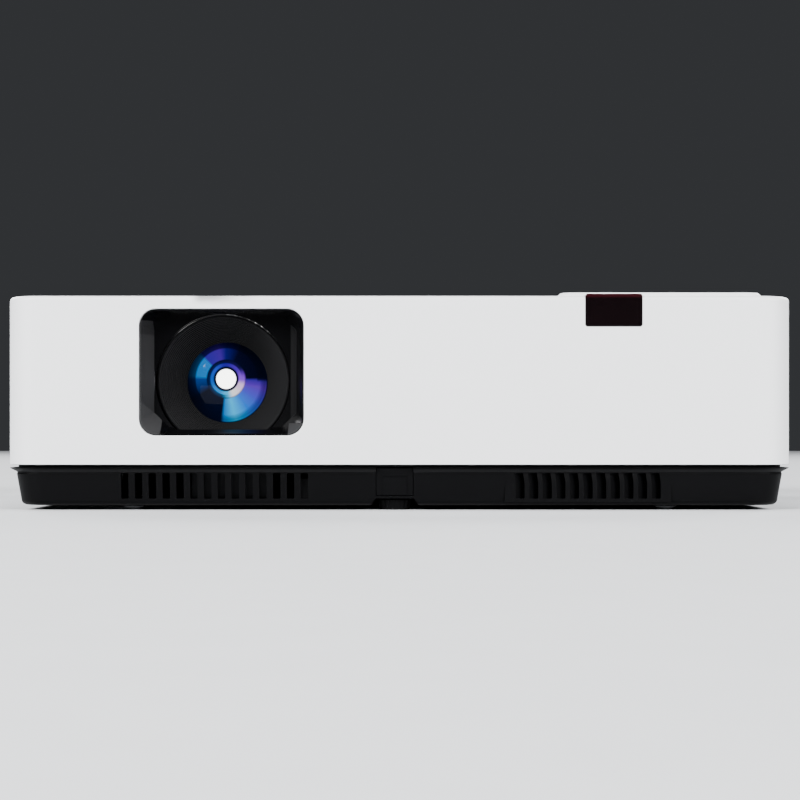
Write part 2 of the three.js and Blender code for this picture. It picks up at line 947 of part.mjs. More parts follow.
function frontCuts() {
  const window = moved(roundedOutline(windowWidth, windowHeight, windowCorner), windowX, windowZ);
  const throughFront = [front - cutOverrun, front + coverWall + cutOverrun];
  const irCut = block(
    around(irX, irWidth),
    [front - cutOverrun, front + irTopDepth],
    [irBottom, coverTop + cutOverrun],
  );
  const scoop = block(
    around(lensX, scoopWidth),
    [front - cutOverrun, front + scoopDepth],
    [coverTop - scoopHeight, coverTop + cutOverrun],
  );
  return [prismY(window, throughFront), irCut, scoop];
}

function accessCut() {
  const y = front + accessSetback + accessLength / 2;
  const inner = moved(roundedOutline(accessWidth, accessLength, accessCorner), lensX, y);
  const grown = 2 * accessBevel;
  const wide = roundedOutline(accessWidth + grown, accessLength + grown, accessCorner + accessBevel);
  const outer = moved(wide, lensX, y);
  const rim = loftUp([
    [coverInnerTop + fitGap, inner],
    [coverTop, outer],
    [coverTop + cutOverrun, outer],
  ]);
  return rim.add(prismZ(inner, [coverInnerTop - cutOverrun, coverTop]));
}

function controlPanelCuts() {
  const seat = roundedOutline(panelWidth + 2 * fitGap, panelDepth + 2 * fitGap, panelCorner + fitGap);
  const drop = 2 * panelLedge;
  const opening = roundedOutline(panelWidth - drop, panelDepth - drop, panelCorner - panelLedge / 2);
  return [
    prismZ(moved(seat, panelX, panelY), [coverTop - panelSeat, coverTop + cutOverrun]),
    prismZ(moved(opening, panelX, panelY), [coverInnerTop - cutOverrun, coverTop]),
  ];
}

function lampBayCuts() {
  const above = coverTop + cutOverrun;
  const beside = side + cutOverrun;
  const skirtLow = coverTop - lampCoverSkirt;
  const topSeat = block([lampCoverX, beside], lampCoverSpan, [coverTop - lampCoverSeat, above]);
  const sideSeat = block([side - lampCoverSeat, beside], lampCoverSpan, [skirtLow, above]);
  const room = lampWidth + 2 * lampWall;
  const opening = roundedOutline(room, lampDepth + 2 * lampWall, lampCoverCorner);
  const bay = prismZ(moved(opening, lampX, lampY), [coverInnerTop - cutOverrun, coverTop]);
  const holeSpan = [side - lampCoverSeat - captiveBossLength - coverWall, side];
  const hole = cylinderX(captiveShankRadius + fitGap, holeSpan, lampY, coverTop - captiveDrop, smallFacets);
  return [topSeat, sideSeat, bay, hole];
}

function captiveBoss() {
  const span = [sideWallInner - captiveBossLength, sideWallInner + coverWall * biteShare];
  return cylinderX(captiveBossRadius, span, lampY, coverTop - captiveDrop, smallFacets);
}

function leftSideCuts() {
  const throughLeft = [-side - cutOverrun, -sideWallInner + cutOverrun];
  const filter = roundedOutline(filterWidth, filterHeight, filterCorner, edgeFacets);
  const cuts = [prismX(moved(filter, filterY, filterZ), throughLeft)];
  for (let i = 0; i < speakerSlotCount; i += 1) {
    const z = speakerZ + (i - (speakerSlotCount - 1) / 2) * speakerSlotPitch;
    cuts.push(block(throughLeft, around(speakerY, speakerSlotLength), around(z, speakerSlotWidth)));
  }
  cuts.push(block(throughLeft, around(lockY, lockLength), around(lockZ, lockHeight)));
  const pinReach = filterWidth + 2 * (filterPinLength + fitGap);
  const hingeZ = filterZ - filterHeight / 2 + filterDoorGap + filterHingeRise;
  const spanY = around(filterY, pinReach);
  const hingeX = -side + filterHingeInset;
  cuts.push(cylinderY(filterPinRadius + fitGap, spanY, hingeX, hingeZ, smallFacets));
  return cuts;
}

function rightSideCut() {
  const outline = roundedOutline(exhaustWidth, exhaustHeight, exhaustCorner, edgeFacets);
  return prismX(moved(outline, exhaustY, exhaustZ), [sideWallInner - cutOverrun, side + cutOverrun]);
}

function rearCuts() {
  const throughRear = [rear - coverWall - cutOverrun, rear + cutOverrun];
  const terminal = roundedOutline(terminalWidth, terminalHeight, terminalCorner, edgeFacets);
  const inlet = roundedOutline(inletWidth, inletHeight, inletCorner, edgeFacets);
  return [
    prismY(moved(terminal, terminalX, terminalZ), throughRear),
    prismY(moved(inlet, inletX, inletZ), throughRear),
  ];
}

function collarOutline() {
  const width = filterWidth + 2 * collarWall;
  const height = filterHeight + 2 * collarWall;
  return roundedOutline(width, height, filterCorner, edgeFacets);
}

// A square duct on the left wall that carries the intake fan.
function filterCollar() {
  const outer = moved(collarOutline(), filterY, filterZ);
  const inner = roundedOutline(filterWidth, filterHeight, filterCorner, edgeFacets);
  const span = [-sideWallInner - coverWall * biteShare, -sideWallInner + collarReach];
  return prismX(outer, span, [moved(inner, filterY, filterZ)]);
}

function coverScrewBoss(x) {
  const bottom = screwBossTop + fitGap;
  const boss = cylinderZ(screwBossRadius, [bottom, coverTop - topWall / 2], x, screwY, smallFacets);
  const boreTop = screwTop + cutOverrun;
  const bore = cylinderZ(screwShankRadius + fitGap, [bottom - cutOverrun, boreTop], x, screwY, smallFacets);
  return boss.subtract(bore);
}

function upperCover() {
  const cuts = [
    ...frontCuts(),
    accessCut(),
    ...controlPanelCuts(),
    ...leftSideCuts(),
    rightSideCut(),
    ...rearCuts(),
  ];
  const screwBosses = [-screwX, screwX].map(coverScrewBoss);
  const added = [coverShell(), captiveBoss(), filterCollar(), ...screwBosses];
  return cutAll(joinAll(added), [...cuts, ...lampBayCuts()]);
}

// Front pieces

function lensBezel() {
  const outerWidth = windowWidth - 2 * fitGap;
  const outerHeight = windowHeight - 2 * fitGap;
  const outer = roundedOutline(outerWidth, outerHeight, windowCorner - fitGap);
  const body = prismY(outer, [0, bezelDepth + bezelPlate]);
  const flangeOutline = roundedOutline(
    outerWidth + 2 * bezelFlangeSide,
    outerHeight + 2 * bezelFlangeEnd,
    windowCorner,
  );
  const flangeNear = coverWall + fitGap;
  const flange = prismY(flangeOutline, [flangeNear, flangeNear + bezelFlangeThickness]);
  const mouthWidth = outerWidth - 2 * bezelRim;
  const mouthHeight = outerHeight - 2 * bezelRim;
  const mouth = roundedOutline(mouthWidth, mouthHeight, windowCorner - fitGap - bezelRim);
  const throatWidth = mouthWidth - bezelLeftTaper - bezelRightTaper;
  const throatHeight = mouthHeight - bezelTopTaper - bezelBottomTaper;
  const shiftX = (bezelLeftTaper - bezelRightTaper) / 2;
  const shiftZ = (bezelBottomTaper - bezelTopTaper) / 2;
  const throat = moved(facetedOutline(throatWidth, throatHeight, bezelCornerFacet), shiftX, shiftZ);
  const funnel = loftBack([[-cutOverrun, mouth], [0, mouth], [bezelDepth, throat]]);
  const centreX = lensX - windowX;
  const centreZ = lensZ - windowZ;
  const throughPlate = [bezelDepth - cutOverrun, bezelDepth + bezelPlate + cutOverrun];
  const round = cylinderY(cellRadius + bezelHoleGap, throughPlate, centreX, centreZ, lensFacets);
  const gateOutline = facetedOutline(throatWidth - bezelLedge, throatHeight, bezelCornerFacet);
  const gate = prismY(moved(gateOutline, shiftX - bezelLedge / 2, shiftZ), throughPlate);
  return cutAll(body.add(flange), [funnel, round.intersect(gate)]);
}

// A rectangle with straight corner facets that matches the rounded outlines point for point.
function facetedOutline(width, height, facet) {
  const corners = [[1, 1], [-1, 1], [-1, -1], [1, -1]];
  return corners.flatMap(([sx, sy], quarter) => {
    const alongX = new THREE.Vector2(sx * width / 2, sy * (height / 2 - facet));
    const alongY = new THREE.Vector2(sx * (width / 2 - facet), sy * height / 2);
    const [from, to] = quarter % 2 === 0 ? [alongX, alongY] : [alongY, alongX];
    const points = [];
    for (let i = 0; i <= cornerFacets; i += 1) {
      points.push(from.clone().lerp(to, i / cornerFacets));
    }
    return points;
  });
}

function irWindow() {
  const width = irWidth - 2 * fitGap;
  const frontFace = roundedOutline(width, coverTop + irProud - irBottom - fitGap, irCorner, edgeFacets);
  const midZ = (coverTop + irProud + irBottom + fitGap) / 2;
  const body = prismY(moved(frontFace, 0, midZ), [0, irTopDepth - fitGap]);
  const roomX = around(0, width - 2 * irWall);
  const room = block(roomX, [irWall, irTopDepth + cutOverrun], [irBottom - cutOverrun, coverTop - irWall]);
  const flange = block(
    around(0, width + 2 * irWall),
    [coverWall + fitGap, coverWall + fitGap + irWall],
    [irBottom - irWall, coverInnerTop - fitGap],
  );
  return body.add(flange).subtract(room);
}

// Lens

function frontCell() {
  const cellBack = cellFront + cellHeadLength;
  const seat = cellFront + baffleDepth;
  const tubeEnd = cellBack + cellTubeLength;
  const profile = [
    [glassOpening, seat],
    [glassOpening, seat - barrelStep / 2],
  ];
  const mouth = cellRadius - cellLand;
  for (let i = 1; i <= baffleSteps; i += 1) {
    const radius = glassOpening + ((mouth - glassOpening) * i) / baffleSteps;
    profile.push([radius, profile[profile.length - 1][1]]);
    profile.push([radius, seat - barrelStep / 2 - ((baffleDepth - barrelStep / 2) * i) / baffleSteps]);
  }
  profile.push([cellRadius - barrelStep, cellFront], [cellRadius, cellFront + barrelStep]);
  profile.push([cellRadius, cellBack], [cellTubeRadius, cellBack], [cellTubeRadius, tubeEnd]);
  profile.push([cellTubeBore, tubeEnd], [cellTubeBore, seat + fitGap]);
  return solid(turnedY(profile, lensFacets));
}

function crownedLens(radius, edge, frontCrown, backCrown, start) {
  const profile = [[0, start - frontCrown]];
  for (let i = 1; i < crownRings; i += 1) {
    const share = i / crownRings;
    profile.push([radius * share, start - frontCrown * (1 - share * share)]);
  }
  profile.push([radius, start], [radius, start + edge]);
  for (let i = crownRings - 1; i > 0; i -= 1) {
    const share = i / crownRings;
    profile.push([radius * share, start + edge + backCrown * (1 - share * share)]);
  }
  profile.push([0, start + edge + backCrown]);
  return solid(turnedY(profile, lensFacets));
}

function frontLens() {
  const start = cellFront + baffleDepth + glassSeatGap;
  return crownedLens(cellTubeBore - fitGap, glassEdge, glassCrown, zoomGlassCrown, start);
}

function zoomLens() {
  const start = barrelStart + zoomGlassBack;
  return crownedLens(cellTubeRadius, zoomGlassThickness, zoomGlassCrown, zoomGlassCrown, start);
}

function lensBarrel() {
  const flangeBack = lensFlangeStart + lensFlangeThickness;
  const tubeEnd = flangeBack + rearTubeLength;
  const collarEnd = collarStart + collarLength;
  const profile = [
    [barrelBore, barrelStart],
    [barrelRadius, barrelStart],
    [barrelRadius, collarStart],
    [collarRadius, collarStart],
    [collarRadius, collarEnd],
    [barrelRadius, collarEnd],
    [barrelRadius, flangeBack],
    [rearTubeRadius, flangeBack],
    [rearTubeRadius, tubeEnd],
    [rearTubeBore, tubeEnd],
    [rearTubeBore, flangeBack - barrelStep],
    [barrelBore, flangeBack - barrelStep],
  ];
  const outline = roundedOutline(lensFlangeWidth, lensFlangeHeight, windowCorner, edgeFacets);
  const hole = circleOutline((barrelRadius + barrelBore) / 2, lensFacets);
  const flange = prismY(outline, [lensFlangeStart, flangeBack], [hole]);
  return solid(turnedY(profile, lensFacets)).add(flange);
}

function gripRing(start) {
  const outline = flutedOutline(ringRadius, ringFluteDepth, ringFlutes);
  const bore = circleOutline(barrelRadius + fitGap, lensFacets);
  return prismY(outline, [start, start + ringLength], [bore]);
}

function zoomRing() {
  const spanY = around(zoomStart + ringLength / 2, zoomLeverLength);
  const leverSpan = [ringRadius - 2 * ringFluteDepth, ringRadius + zoomLeverHeight];
  return gripRing(zoomStart).add(block(around(0, zoomLeverWidth), spanY, leverSpan));
}

// Optics

function opticsOutline(inset) {
  const left = lensX - opticsSide + inset;
  return polygon([
    [left, opticsNear + inset],
    [lensX + opticsSide - inset, opticsNear + inset],
    [lensX + opticsSide - inset, opticsBend + inset],
    [opticsRight - inset, opticsBend + inset],
    [opticsRight - inset, opticsBack - inset],
    [left, opticsBack - inset],
  ]);
}

function opticsHousing() {
  const tray = prismZ(opticsOutline(0), [opticsBottom, opticsTop]);
  const pocket = prismZ(opticsOutline(opticsWall), [opticsBottom + opticsWall, opticsTop + cutOverrun]);
  const holeSpan = [opticsNear - cutOverrun, opticsNear + opticsWall + cutOverrun];
  const lensHole = cylinderY(rearTubeRadius + fitGap, holeSpan, lensX, lensZ, lensFacets);
  const beamSpan = [opticsRight - opticsWall - cutOverrun, opticsRight + cutOverrun];
  const beamHole = cylinderX(reflectorRadius - lampWall, beamSpan, lampY, lampBottom + lampHeight / 2);
  const reach = prismSide + 2 * (panelGlassGap + panelGlassThickness);
  const pedestal = block(
    around(lensX, reach),
    [front + prismSetback, front + prismSetback + reach - panelGlassGap],
    [opticsBottom + opticsWall / 2, lensZ - prismHeight / 2 - fitGap],
  );
  return cutAll(tray.subtract(pocket).add(pedestal), [lensHole, beamHole]);
}

function combinerPrism() {
  return block(around(0, prismSide), [0, prismSide], around(0, prismHeight));
}

function liquidCrystalPanel() {
  return block(around(0, panelGlassThickness), around(0, panelGlassSide), around(0, prismHeight));
}

// Lamp

function lampHousing() {
  const spanX = around(lampX, lampWidth);
  const spanY = around(lampY, lampDepth);
  const top = lampBottom + lampHeight;
  const shell = block(spanX, spanY, [lampBottom, top]);
  const room = block(
    [spanX[0] - cutOverrun, spanX[1] - lampWall],
    [spanY[0] + lampWall, spanY[1] - lampWall],
    [lampBottom + lampWall, top - lampWall],
  );
  const vent = block(
    [spanX[1] - lampWall - cutOverrun, spanX[1] + cutOverrun],
    around(lampY, lampDepth / 2),
    around(lampBottom + lampHeight / 2, lampHeight / 2),
  );
  const tabSpan = [top - lampWall / 2, top + lampTabHeight];
  const tab = block(around(lampX, lampTabWidth), around(lampY, lampWall), tabSpan);
  return cutAll(shell, [room, vent]).add(tab);
}

function lampReflector() {
  const outer = [];
  const inner = [];
  const span = reflectorRadius - reflectorNeckRadius;
  for (let i = 0; i <= reflectorSteps; i += 1) {
    const share = i / reflectorSteps;
    const radius = reflectorNeckRadius + span * Math.sqrt(1 - share);
    outer.push([radius, reflectorLength * share]);
    inner.push([radius - reflectorWall, reflectorLength * share]);
  }
  const end = reflectorLength + reflectorNeckLength;
  const burnerRadius = reflectorNeckRadius - 2 * reflectorWall;
  const profile = [
    ...outer,
    [reflectorNeckRadius, end],
    [0, end],
    [0, reflectorLength / 3],
    [burnerRadius, reflectorLength / 3],
    [burnerRadius, reflectorLength],
    ...inner.reverse(),
  ];
  return solid(turnedX(profile, roundFacets));
}

// Fans

function fanFrame() {
  const outline = roundedOutline(fanSize, fanSize, fanCorner, edgeFacets);
  const bore = circleOutline(fanBoreRadius, roundFacets);
  const frame = prismX(outline, [0, fanDepth], [bore]);
  const hub = cylinderX(rotorHubRadius, [0, spiderThickness], 0, 0);
  const reach = fanBoreRadius + fanCorner * biteShare;
  const arms = [-1, 1].flatMap((hand) => [
    block([0, spiderThickness], around(hand * reach / 2, reach), around(0, spiderArmWidth)),
    block([0, spiderThickness], around(0, spiderArmWidth), around(hand * reach / 2, reach)),
  ]);
  return joinAll([frame, hub, ...arms]);
}

function fanRotor() {
  const start = spiderThickness + rotorGap;
  const hub = cylinderX(rotorHubRadius, [start, start + rotorDepth], 0, 0);
  const blades = [];
  for (let i = 0; i < rotorBlades; i += 1) {
    const length = rotorTipRadius - rotorHubRadius / 2;
    const blade = new THREE.BoxGeometry(rotorDepth, length, bladeThickness);
    blade.translate(0, rotorHubRadius / 2 + length / 2, 0);
    blade.rotateY(bladeSlope);
    blade.rotateX((i / rotorBlades) * Math.PI * 2);
    blade.translate(start + rotorDepth / 2, 0, 0);
    blades.push(solid(blade));
  }
  const sweep = cylinderX(rotorTipRadius, [start, start + rotorDepth], 0, 0);
  return joinAll([hub, ...blades]).intersect(sweep);
}

function exhaustGrille() {
  const width = exhaustWidth - 2 * fitGap;
  const height = exhaustHeight - 2 * fitGap;
  const start = exhaustFanX + fanDepth + fitGap;
  const outline = roundedOutline(width, height, exhaustCorner, edgeFacets);
  const body = prismX(outline, [start, side - fitGap]);
  const flangeWidth = width + 2 * grilleFlange;
  const flangeHeight = height + 2 * grilleFlange;
  const flangeOutline = roundedOutline(flangeWidth, flangeHeight, exhaustCorner, edgeFacets);
  const flangeEnd = sideWallInner - fitGap;
  const flange = prismX(flangeOutline, [flangeEnd - grilleFlangeThickness, flangeEnd]);
  const room = block(
    [start - cutOverrun, side - fitGap - exhaustPlate],
    around(0, width - 2 * exhaustRimWall),
    around(0, height - 2 * exhaustRimWall),
  );
  const cuts = [room];
  const pitch = (height - 2 * exhaustRimWall) / exhaustSlotCount;
  const halfLength = width / 2 - 2 * exhaustRimWall;
  for (let i = 0; i < exhaustSlotCount; i += 1) {
    const z = (i - (exhaustSlotCount - 1) / 2) * pitch - exhaustSlotHeight / 2;
    const near = side - fitGap - exhaustPlate - cutOverrun;
    const far = side + cutOverrun;
    const slot = prismY(polygon([
      [near, z + exhaustSlotSlant],
      [far, z - exhaustSlotSlant],
      [far, z - exhaustSlotSlant + exhaustSlotHeight],
      [near, z + exhaustSlotSlant + exhaustSlotHeight],
    ]), [-halfLength, halfLength]);
    cuts.push(slot);
  }
  return cutAll(body.add(flange), cuts);
}

function intakeFanFrame() {
  const bore = circleOutline(fanBoreRadius, roundFacets);
  const plateSpan = [-fanPlateThickness, fanPlateThickness * biteShare];
  const plate = prismX(collarOutline(), plateSpan, [bore]);
  return fanFrame().add(plate);
}

function filterCover() {
  const width = filterWidth - 2 * filterDoorGap;
  const height = filterHeight - 2 * filterDoorGap;
  const plate = prismX(roundedOutline(width, height, filterCorner, edgeFacets), [0, filterPlate]);
  const hingeZ = -height / 2 + filterHingeRise;
  const pinSpan = around(0, filterWidth + 2 * filterPinLength);
  const pin = cylinderY(filterPinRadius, pinSpan, filterHingeInset, hingeZ, smallFacets);
  const cuts = [];
  const slotRange = height - 2 * filterSlotInset - filterGripHeight;
  const pitch = slotRange / filterSlotCount;
  for (let i = 0; i < filterSlotCount; i += 1) {
    const z = -height / 2 + filterSlotInset + (i + 0.5) * pitch;
    const spanY = around(0, width - 2 * filterSlotInset);
    cuts.push(block([-cutOverrun, filterPlate + cutOverrun], spanY, around(z, filterSlotHeight)));
  }
  const gripTop = height / 2 - filterCorner;
  const gripSpan = [gripTop - filterGripHeight, gripTop];
  cuts.push(block([-cutOverrun, filterGripDepth], around(0, filterGripWidth), gripSpan));
  return cutAll(plate.add(pin), cuts);
}

function airFilter() {
  const width = filterWidth - 2 * filterPadMargin;
  const height = filterHeight - 2 * filterPadMargin;
  const start = filterPlate + fitGap;
  return block([start, start + filterPadThickness - fitGap], around(0, width), around(0, height));
}

function speaker() {
  const basket = speakerDepth - speakerMagnetDepth;
  const profile = [
    [0, speakerMagnetDepth],
    [speakerRadius - speakerRimThickness, speakerRimThickness * biteShare],
    [speakerRadius - speakerRimThickness, 0],
    [speakerRadius, 0],
    [speakerRadius, speakerRimThickness],
    [speakerMagnetRadius, basket],
    [speakerMagnetRadius, speakerDepth],
    [0, speakerDepth],
  ];
  return solid(turnedX(profile, roundFacets));
}

// Boards

function mainBoard() {
  const spanX = around(terminalX, terminalWidth - 2 * mainBoardMargin);
  const low = mainBoardTop - boardThickness;
  const parts = [block(spanX, [mainBoardFront, mainBoardRear], [low, mainBoardTop])];
  for (let i = 0; i < chipCount; i += 1) {
    const x = terminalX + (i - (chipCount - 1) / 2) * chipPitch;
    const spanZ = [mainBoardTop - boardThickness / 2, mainBoardTop + boardThickness];
    parts.push(block(around(x, chipSize), around(mainBoardFront + chipInset, chipSize), spanZ));
  }
  return joinAll(parts);
}

// The power board is built round its own middle, with z = 0 on its top face.
function powerBoard() {
  const seat = -boardThickness / 2;
  const edge = powerBoardWidth / 2;
  const sinkX = edge - sinkInset - sinkLength / 2;
  const parts = [
    block(around(0, powerBoardWidth), around(0, powerBoardDepth), [-boardThickness, 0]),
    block(around(transformerX, transformerWidth), around(0, transformerDepth), [seat, coreHeight]),
    block(around(sinkX, sinkLength), around(sinkY, sinkThickness), [seat, sinkHeight]),
    cylinderZ(chokeRadius, [seat, chokeHeight], chokeInset - edge, 0, smallFacets),
  ];
  for (let i = 0; i < canCount; i += 1) {
    const x = edge - canInset - i * canPitch;
    parts.push(cylinderZ(canRadius, [seat, coreHeight], x, canY, smallFacets));
  }
  return joinAll(parts);
}

// Terminals, each built round the middle of its opening and with y = 0 on the panel's face

function socketRise(height) {
  return mainBoardTop + terminalGap + height / 2;
}

function socketShell(width, height) {
  const body = block(around(0, width), [-socketBody, socketProud], around(0, height));
  const mouth = block(
    around(0, width - 2 * shellWall),
    [-socketMouthDepth, socketProud + cutOverrun],
    around(0, height - 2 * shellWall),
  );
  return body.subtract(mouth);
}

function hdmiSocket() {
  const foot = hdmiWidth / 2 - hdmiChamfer;
  const outer = polygon([
    [-foot, -hdmiHeight / 2],
    [foot, -hdmiHeight / 2],
    [hdmiWidth / 2, -hdmiHeight / 2 + hdmiChamfer],
    [hdmiWidth / 2, hdmiHeight / 2],
    [-hdmiWidth / 2, hdmiHeight / 2],
    [-hdmiWidth / 2, -hdmiHeight / 2 + hdmiChamfer],
  ]);
  const scaleX = (hdmiWidth - 2 * shellWall) / hdmiWidth;
  const scaleZ = (hdmiHeight - 2 * shellWall) / hdmiHeight;
  const inner = outer.map((p) => new THREE.Vector2(p.x * scaleX, p.y * scaleZ));
  const body = prismY(outer, [-socketBody, socketProud]);
  return body.subtract(prismY(inner, [-socketMouthDepth, socketProud + cutOverrun]));
}

function usbSocket() {
  const tongueTop = usbHeight / 2 - shellWall / 2;
  const tongue = block(
    around(0, usbTongueWidth),
    [-socketMouthDepth - shellWall, usbTongueReach - socketMouthDepth],
    [tongueTop - usbTongueThickness, tongueTop],
  );
  return socketShell(usbWidth, usbHeight).add(tongue);
}

function lanSocket() {
  const body = block(around(0, lanWidth), [-socketBody - socketProud, socketProud], around(0, lanHeight));
  const low = -lanHeight / 2 + lanSill;
  const mouth = block(
    around(0, lanOpeningWidth),
    [-lanOpeningDepth, socketProud + cutOverrun],
    [low, low + lanOpeningHeight],
  );
  return body.subtract(mouth);
}

function computerSocket() {
  const flange = block(
    around(0, computerFlangeWidth),
    [-socketBody, 0],
    around(0, computerFlangeHeight),
  );
  const shellShape = (shrink, tapered) => {
    const top = computerShellWidth / 2 - shrink;
    const bottom = top - tapered;
    const half = computerShellHeight / 2 - shrink;
    return polygon([[-bottom, -half], [bottom, -half], [top, half], [-top, half]]);
  };
  const outer = shellShape(0, computerShellTaper);
  const hollow = shellShape(computerShellWall, computerShellTaper);
  const insert = shellShape(2 * computerShellWall, computerShellTaper);
  const shell = prismY(outer, [-shellWall, computerShellReach], [hollow]);
  const core = prismY(insert, [-shellWall, computerInsertReach]);
  const nutSpan = [-shellWall, hexLength];
  const nuts = [-1, 1].map((hand) => cylinderY(hexRadius, nutSpan, hand * hexSpacing / 2, 0, hexFacets));
  return joinAll([flange, shell, core, ...nuts]);
}

function audioJacks() {
  const body = block(around(0, 2 * jackPitch), [-socketBody, 0], around(0, jackBlockHeight));
  const parts = [body];
  const cuts = [];
  const collarSpan = [-shellWall, jackCollarReach];
  const boreSpan = [-socketMouthDepth, jackCollarReach + cutOverrun];
  [-jackPitch / 2, jackPitch / 2].forEach((x) => {
    parts.push(cylinderY(jackCollarRadius, collarSpan, x, 0, smallFacets));
    cuts.push(cylinderY(jackBoreRadius, boreSpan, x, 0, smallFacets));
  });
  return cutAll(joinAll(parts), cuts);
}

// Where each terminal's middle lies along the panel, as shares of the panel's width.
const computerShare = -0.371;
const monitorShare = -0.143;
const hdmiShare = 0.033;
const usbShare = 0.147;
const lanShare = 0.267;
const audioShare = 0.413;

function terminalPlace(share, height) {
  return [terminalX + share * terminalWidth, terminalFace, socketRise(height)];
}

function terminalPanel() {
  const width = terminalWidth - 2 * fitGap;
  const height = terminalHeight - 2 * fitGap;
  const start = terminalFace - terminalPlate;
  const outline = moved(roundedOutline(width, height, terminalCorner, edgeFacets), terminalX, terminalZ);
  const body = prismY(outline, [start, rear - fitGap]);
  const flangeOutline = roundedOutline(
    width + 2 * terminalFlange,
    height + 2 * terminalFlange,
    terminalCorner,
    edgeFacets,
  );
  const flangeEnd = rear - coverWall - fitGap;
  const flangeSpan = [flangeEnd - terminalFlangeThickness, flangeEnd];
  const flange = prismY(moved(flangeOutline, terminalX, terminalZ), flangeSpan);
  const wall = 2 * terminalWall;
  const recess = roundedOutline(width - wall, height - wall, terminalCorner - terminalWall / 2, edgeFacets);
  const cuts = [prismY(moved(recess, terminalX, terminalZ), [terminalFace, rear + cutOverrun])];
  const throughPlate = [start - cutOverrun, terminalFace + cutOverrun];
  const opening = (share, socketWidth, socketHeight) => {
    const [x, , z] = terminalPlace(share, socketHeight);
    const spanX = around(x, socketWidth + 2 * terminalGap);
    cuts.push(block(spanX, throughPlate, around(z, socketHeight + 2 * terminalGap)));
  };
  opening(computerShare, computerFlangeWidth, computerFlangeHeight);
  opening(monitorShare, computerFlangeWidth, computerFlangeHeight);
  opening(hdmiShare, hdmiWidth, hdmiHeight);
  opening(usbShare, usbWidth, usbHeight);
  opening(lanShare, lanWidth, lanHeight);
  opening(audioShare, 2 * jackPitch, jackBlockHeight);
  return cutAll(body.add(flange), cuts);
}

// Mains inlet, with y = 0 on the outside of the rear wall

function mainsInlet() {
  const face = -fitGap;
  const width = inletWidth - 2 * fitGap;
  const height = inletHeight - 2 * fitGap;
  const body = prismY(roundedOutline(width, height, inletCorner, edgeFacets), [face - inletBody, face]);
  const flangeEnd = -coverWall - fitGap;
  const flangeOutline = roundedOutline(
    inletWidth + 2 * inletFlange,
    inletHeight + 2 * inletFlange,
    inletCorner,
    edgeFacets,
  );
  const flange = prismY(flangeOutline, [flangeEnd - inletFlangeThickness, flangeEnd]);
  const half = inletOpeningWidth / 2;
  const top = inletOpeningHeight / 2;
  const mouth = polygon([
    [-half, -top],
    [half, -top],
    [half, top - inletChamfer],
    [half - inletChamfer, top],
    [-half + inletChamfer, top],
    [-half, top - inletChamfer],
  ]);
  const cavity = prismY(mouth, [face - inletDepth, cutOverrun]);
  const pinSpan = [face - inletDepth - inletPinWidth, face - inletDepth + inletPinLength];
  const pins = [-1, 0, 1].map((hand) => block(
    around(hand * inletPinSpread, inletPinWidth),
    pinSpan,
    around(hand === 0 ? inletPinRise : -inletPinRise / 2, inletPinHeight),
  ));
  return joinAll([body.add(flange).subtract(cavity), ...pins]);
}

// Control panel and keys, with z = 0 on the underside of the panel

function roundKeyOutline(grow) {
  return circleOutline(roundKeyRadius + grow, roundFacets);
}

function arrowKeyOutline(grow, upright) {
  const length = arrowKeyLength + 2 * grow;
  const width = arrowKeyWidth + 2 * grow;
  const corner = arrowKeyCorner + grow;
  return upright
    ? roundedOutline(width, length, corner, edgeFacets)
    : roundedOutline(length, width, corner, edgeFacets);
}

const keys = [
  { name: 'power_key', x: keyColumnFar, y: keyRow, outline: roundKeyOutline },
  { name: 'source_key', x: keyColumnNear, y: keyRow, outline: roundKeyOutline },
  { name: 'exit_key', x: keyColumnFar, y: keyRowNear, outline: roundKeyOutline },
  { name: 'menu_key', x: keyColumnNear, y: keyRowNear, outline: roundKeyOutline },
  { name: 'enter_key', x: navX, y: 0, outline: roundKeyOutline },
  { name: 'up_key', x: navX, y: arrowReach, outline: (grow) => arrowKeyOutline(grow, false) },
  { name: 'down_key', x: navX, y: -arrowReach, outline: (grow) => arrowKeyOutline(grow, false) },
  { name: 'left_key', x: navX - arrowReach, y: 0, outline: (grow) => arrowKeyOutline(grow, true) },
  { name: 'right_key', x: navX + arrowReach, y: 0, outline: (grow) => arrowKeyOutline(grow, true) },
];

function keyCap(key) {
  const flangeTop = -fitGap;
  const flange = prismZ(key.outline(keyFlange), [flangeTop - keyFlangeThickness, flangeTop]);
  const cap = prismZ(key.outline(0), [flangeTop - keyFlangeThickness, panelThickness + keyProud]);
  return cap.add(flange);
}

function indicatorOutline(grow) {
  const width = indicatorWidth + 2 * grow;
  return roundedOutline(indicatorLength + 2 * grow, width, width / 3, edgeFacets);
}

function indicatorWindow() {
  const flangeTop = -fitGap;
  const flange = prismZ(indicatorOutline(keyFlange), [flangeTop - keyFlangeThickness, flangeTop]);
  return prismZ(indicatorOutline(0), [flangeTop - keyFlangeThickness, panelThickness]).add(flange);
}

function controlPanel() {
  const drop = 2 * panelBevel;
  const plan = roundedOutline(panelWidth, panelDepth, panelCorner);
  const crown = roundedOutline(panelWidth - drop, panelDepth - drop, panelCorner - panelBevel);
  const plate = loftUp([[0, plan], [panelThickness - panelBevel, plan], [panelThickness, crown]]);
  const span = [-cutOverrun, panelThickness + cutOverrun];
  const holes = keys.map((key) => prismZ(moved(key.outline(fitGap), key.x, key.y), span));
  holes.push(prismZ(moved(indicatorOutline(fitGap), indicatorX, indicatorRow), span));
  return cutAll(plate, holes);
}

function keyBoard() {
  const width = panelWidth - 2 * panelLedge + 2 * keyBoardMargin;
  const depth = panelDepth - 2 * panelLedge + 2 * keyBoardMargin;
  const top = coverInnerTop - fitGap - panelBottom;
  return block(around(0, width), around(0, depth), [top - keyBoardThickness, top]);
}

// Lamp cover: a lid along the top with a skirt down the side, cut to the cover's own outside.

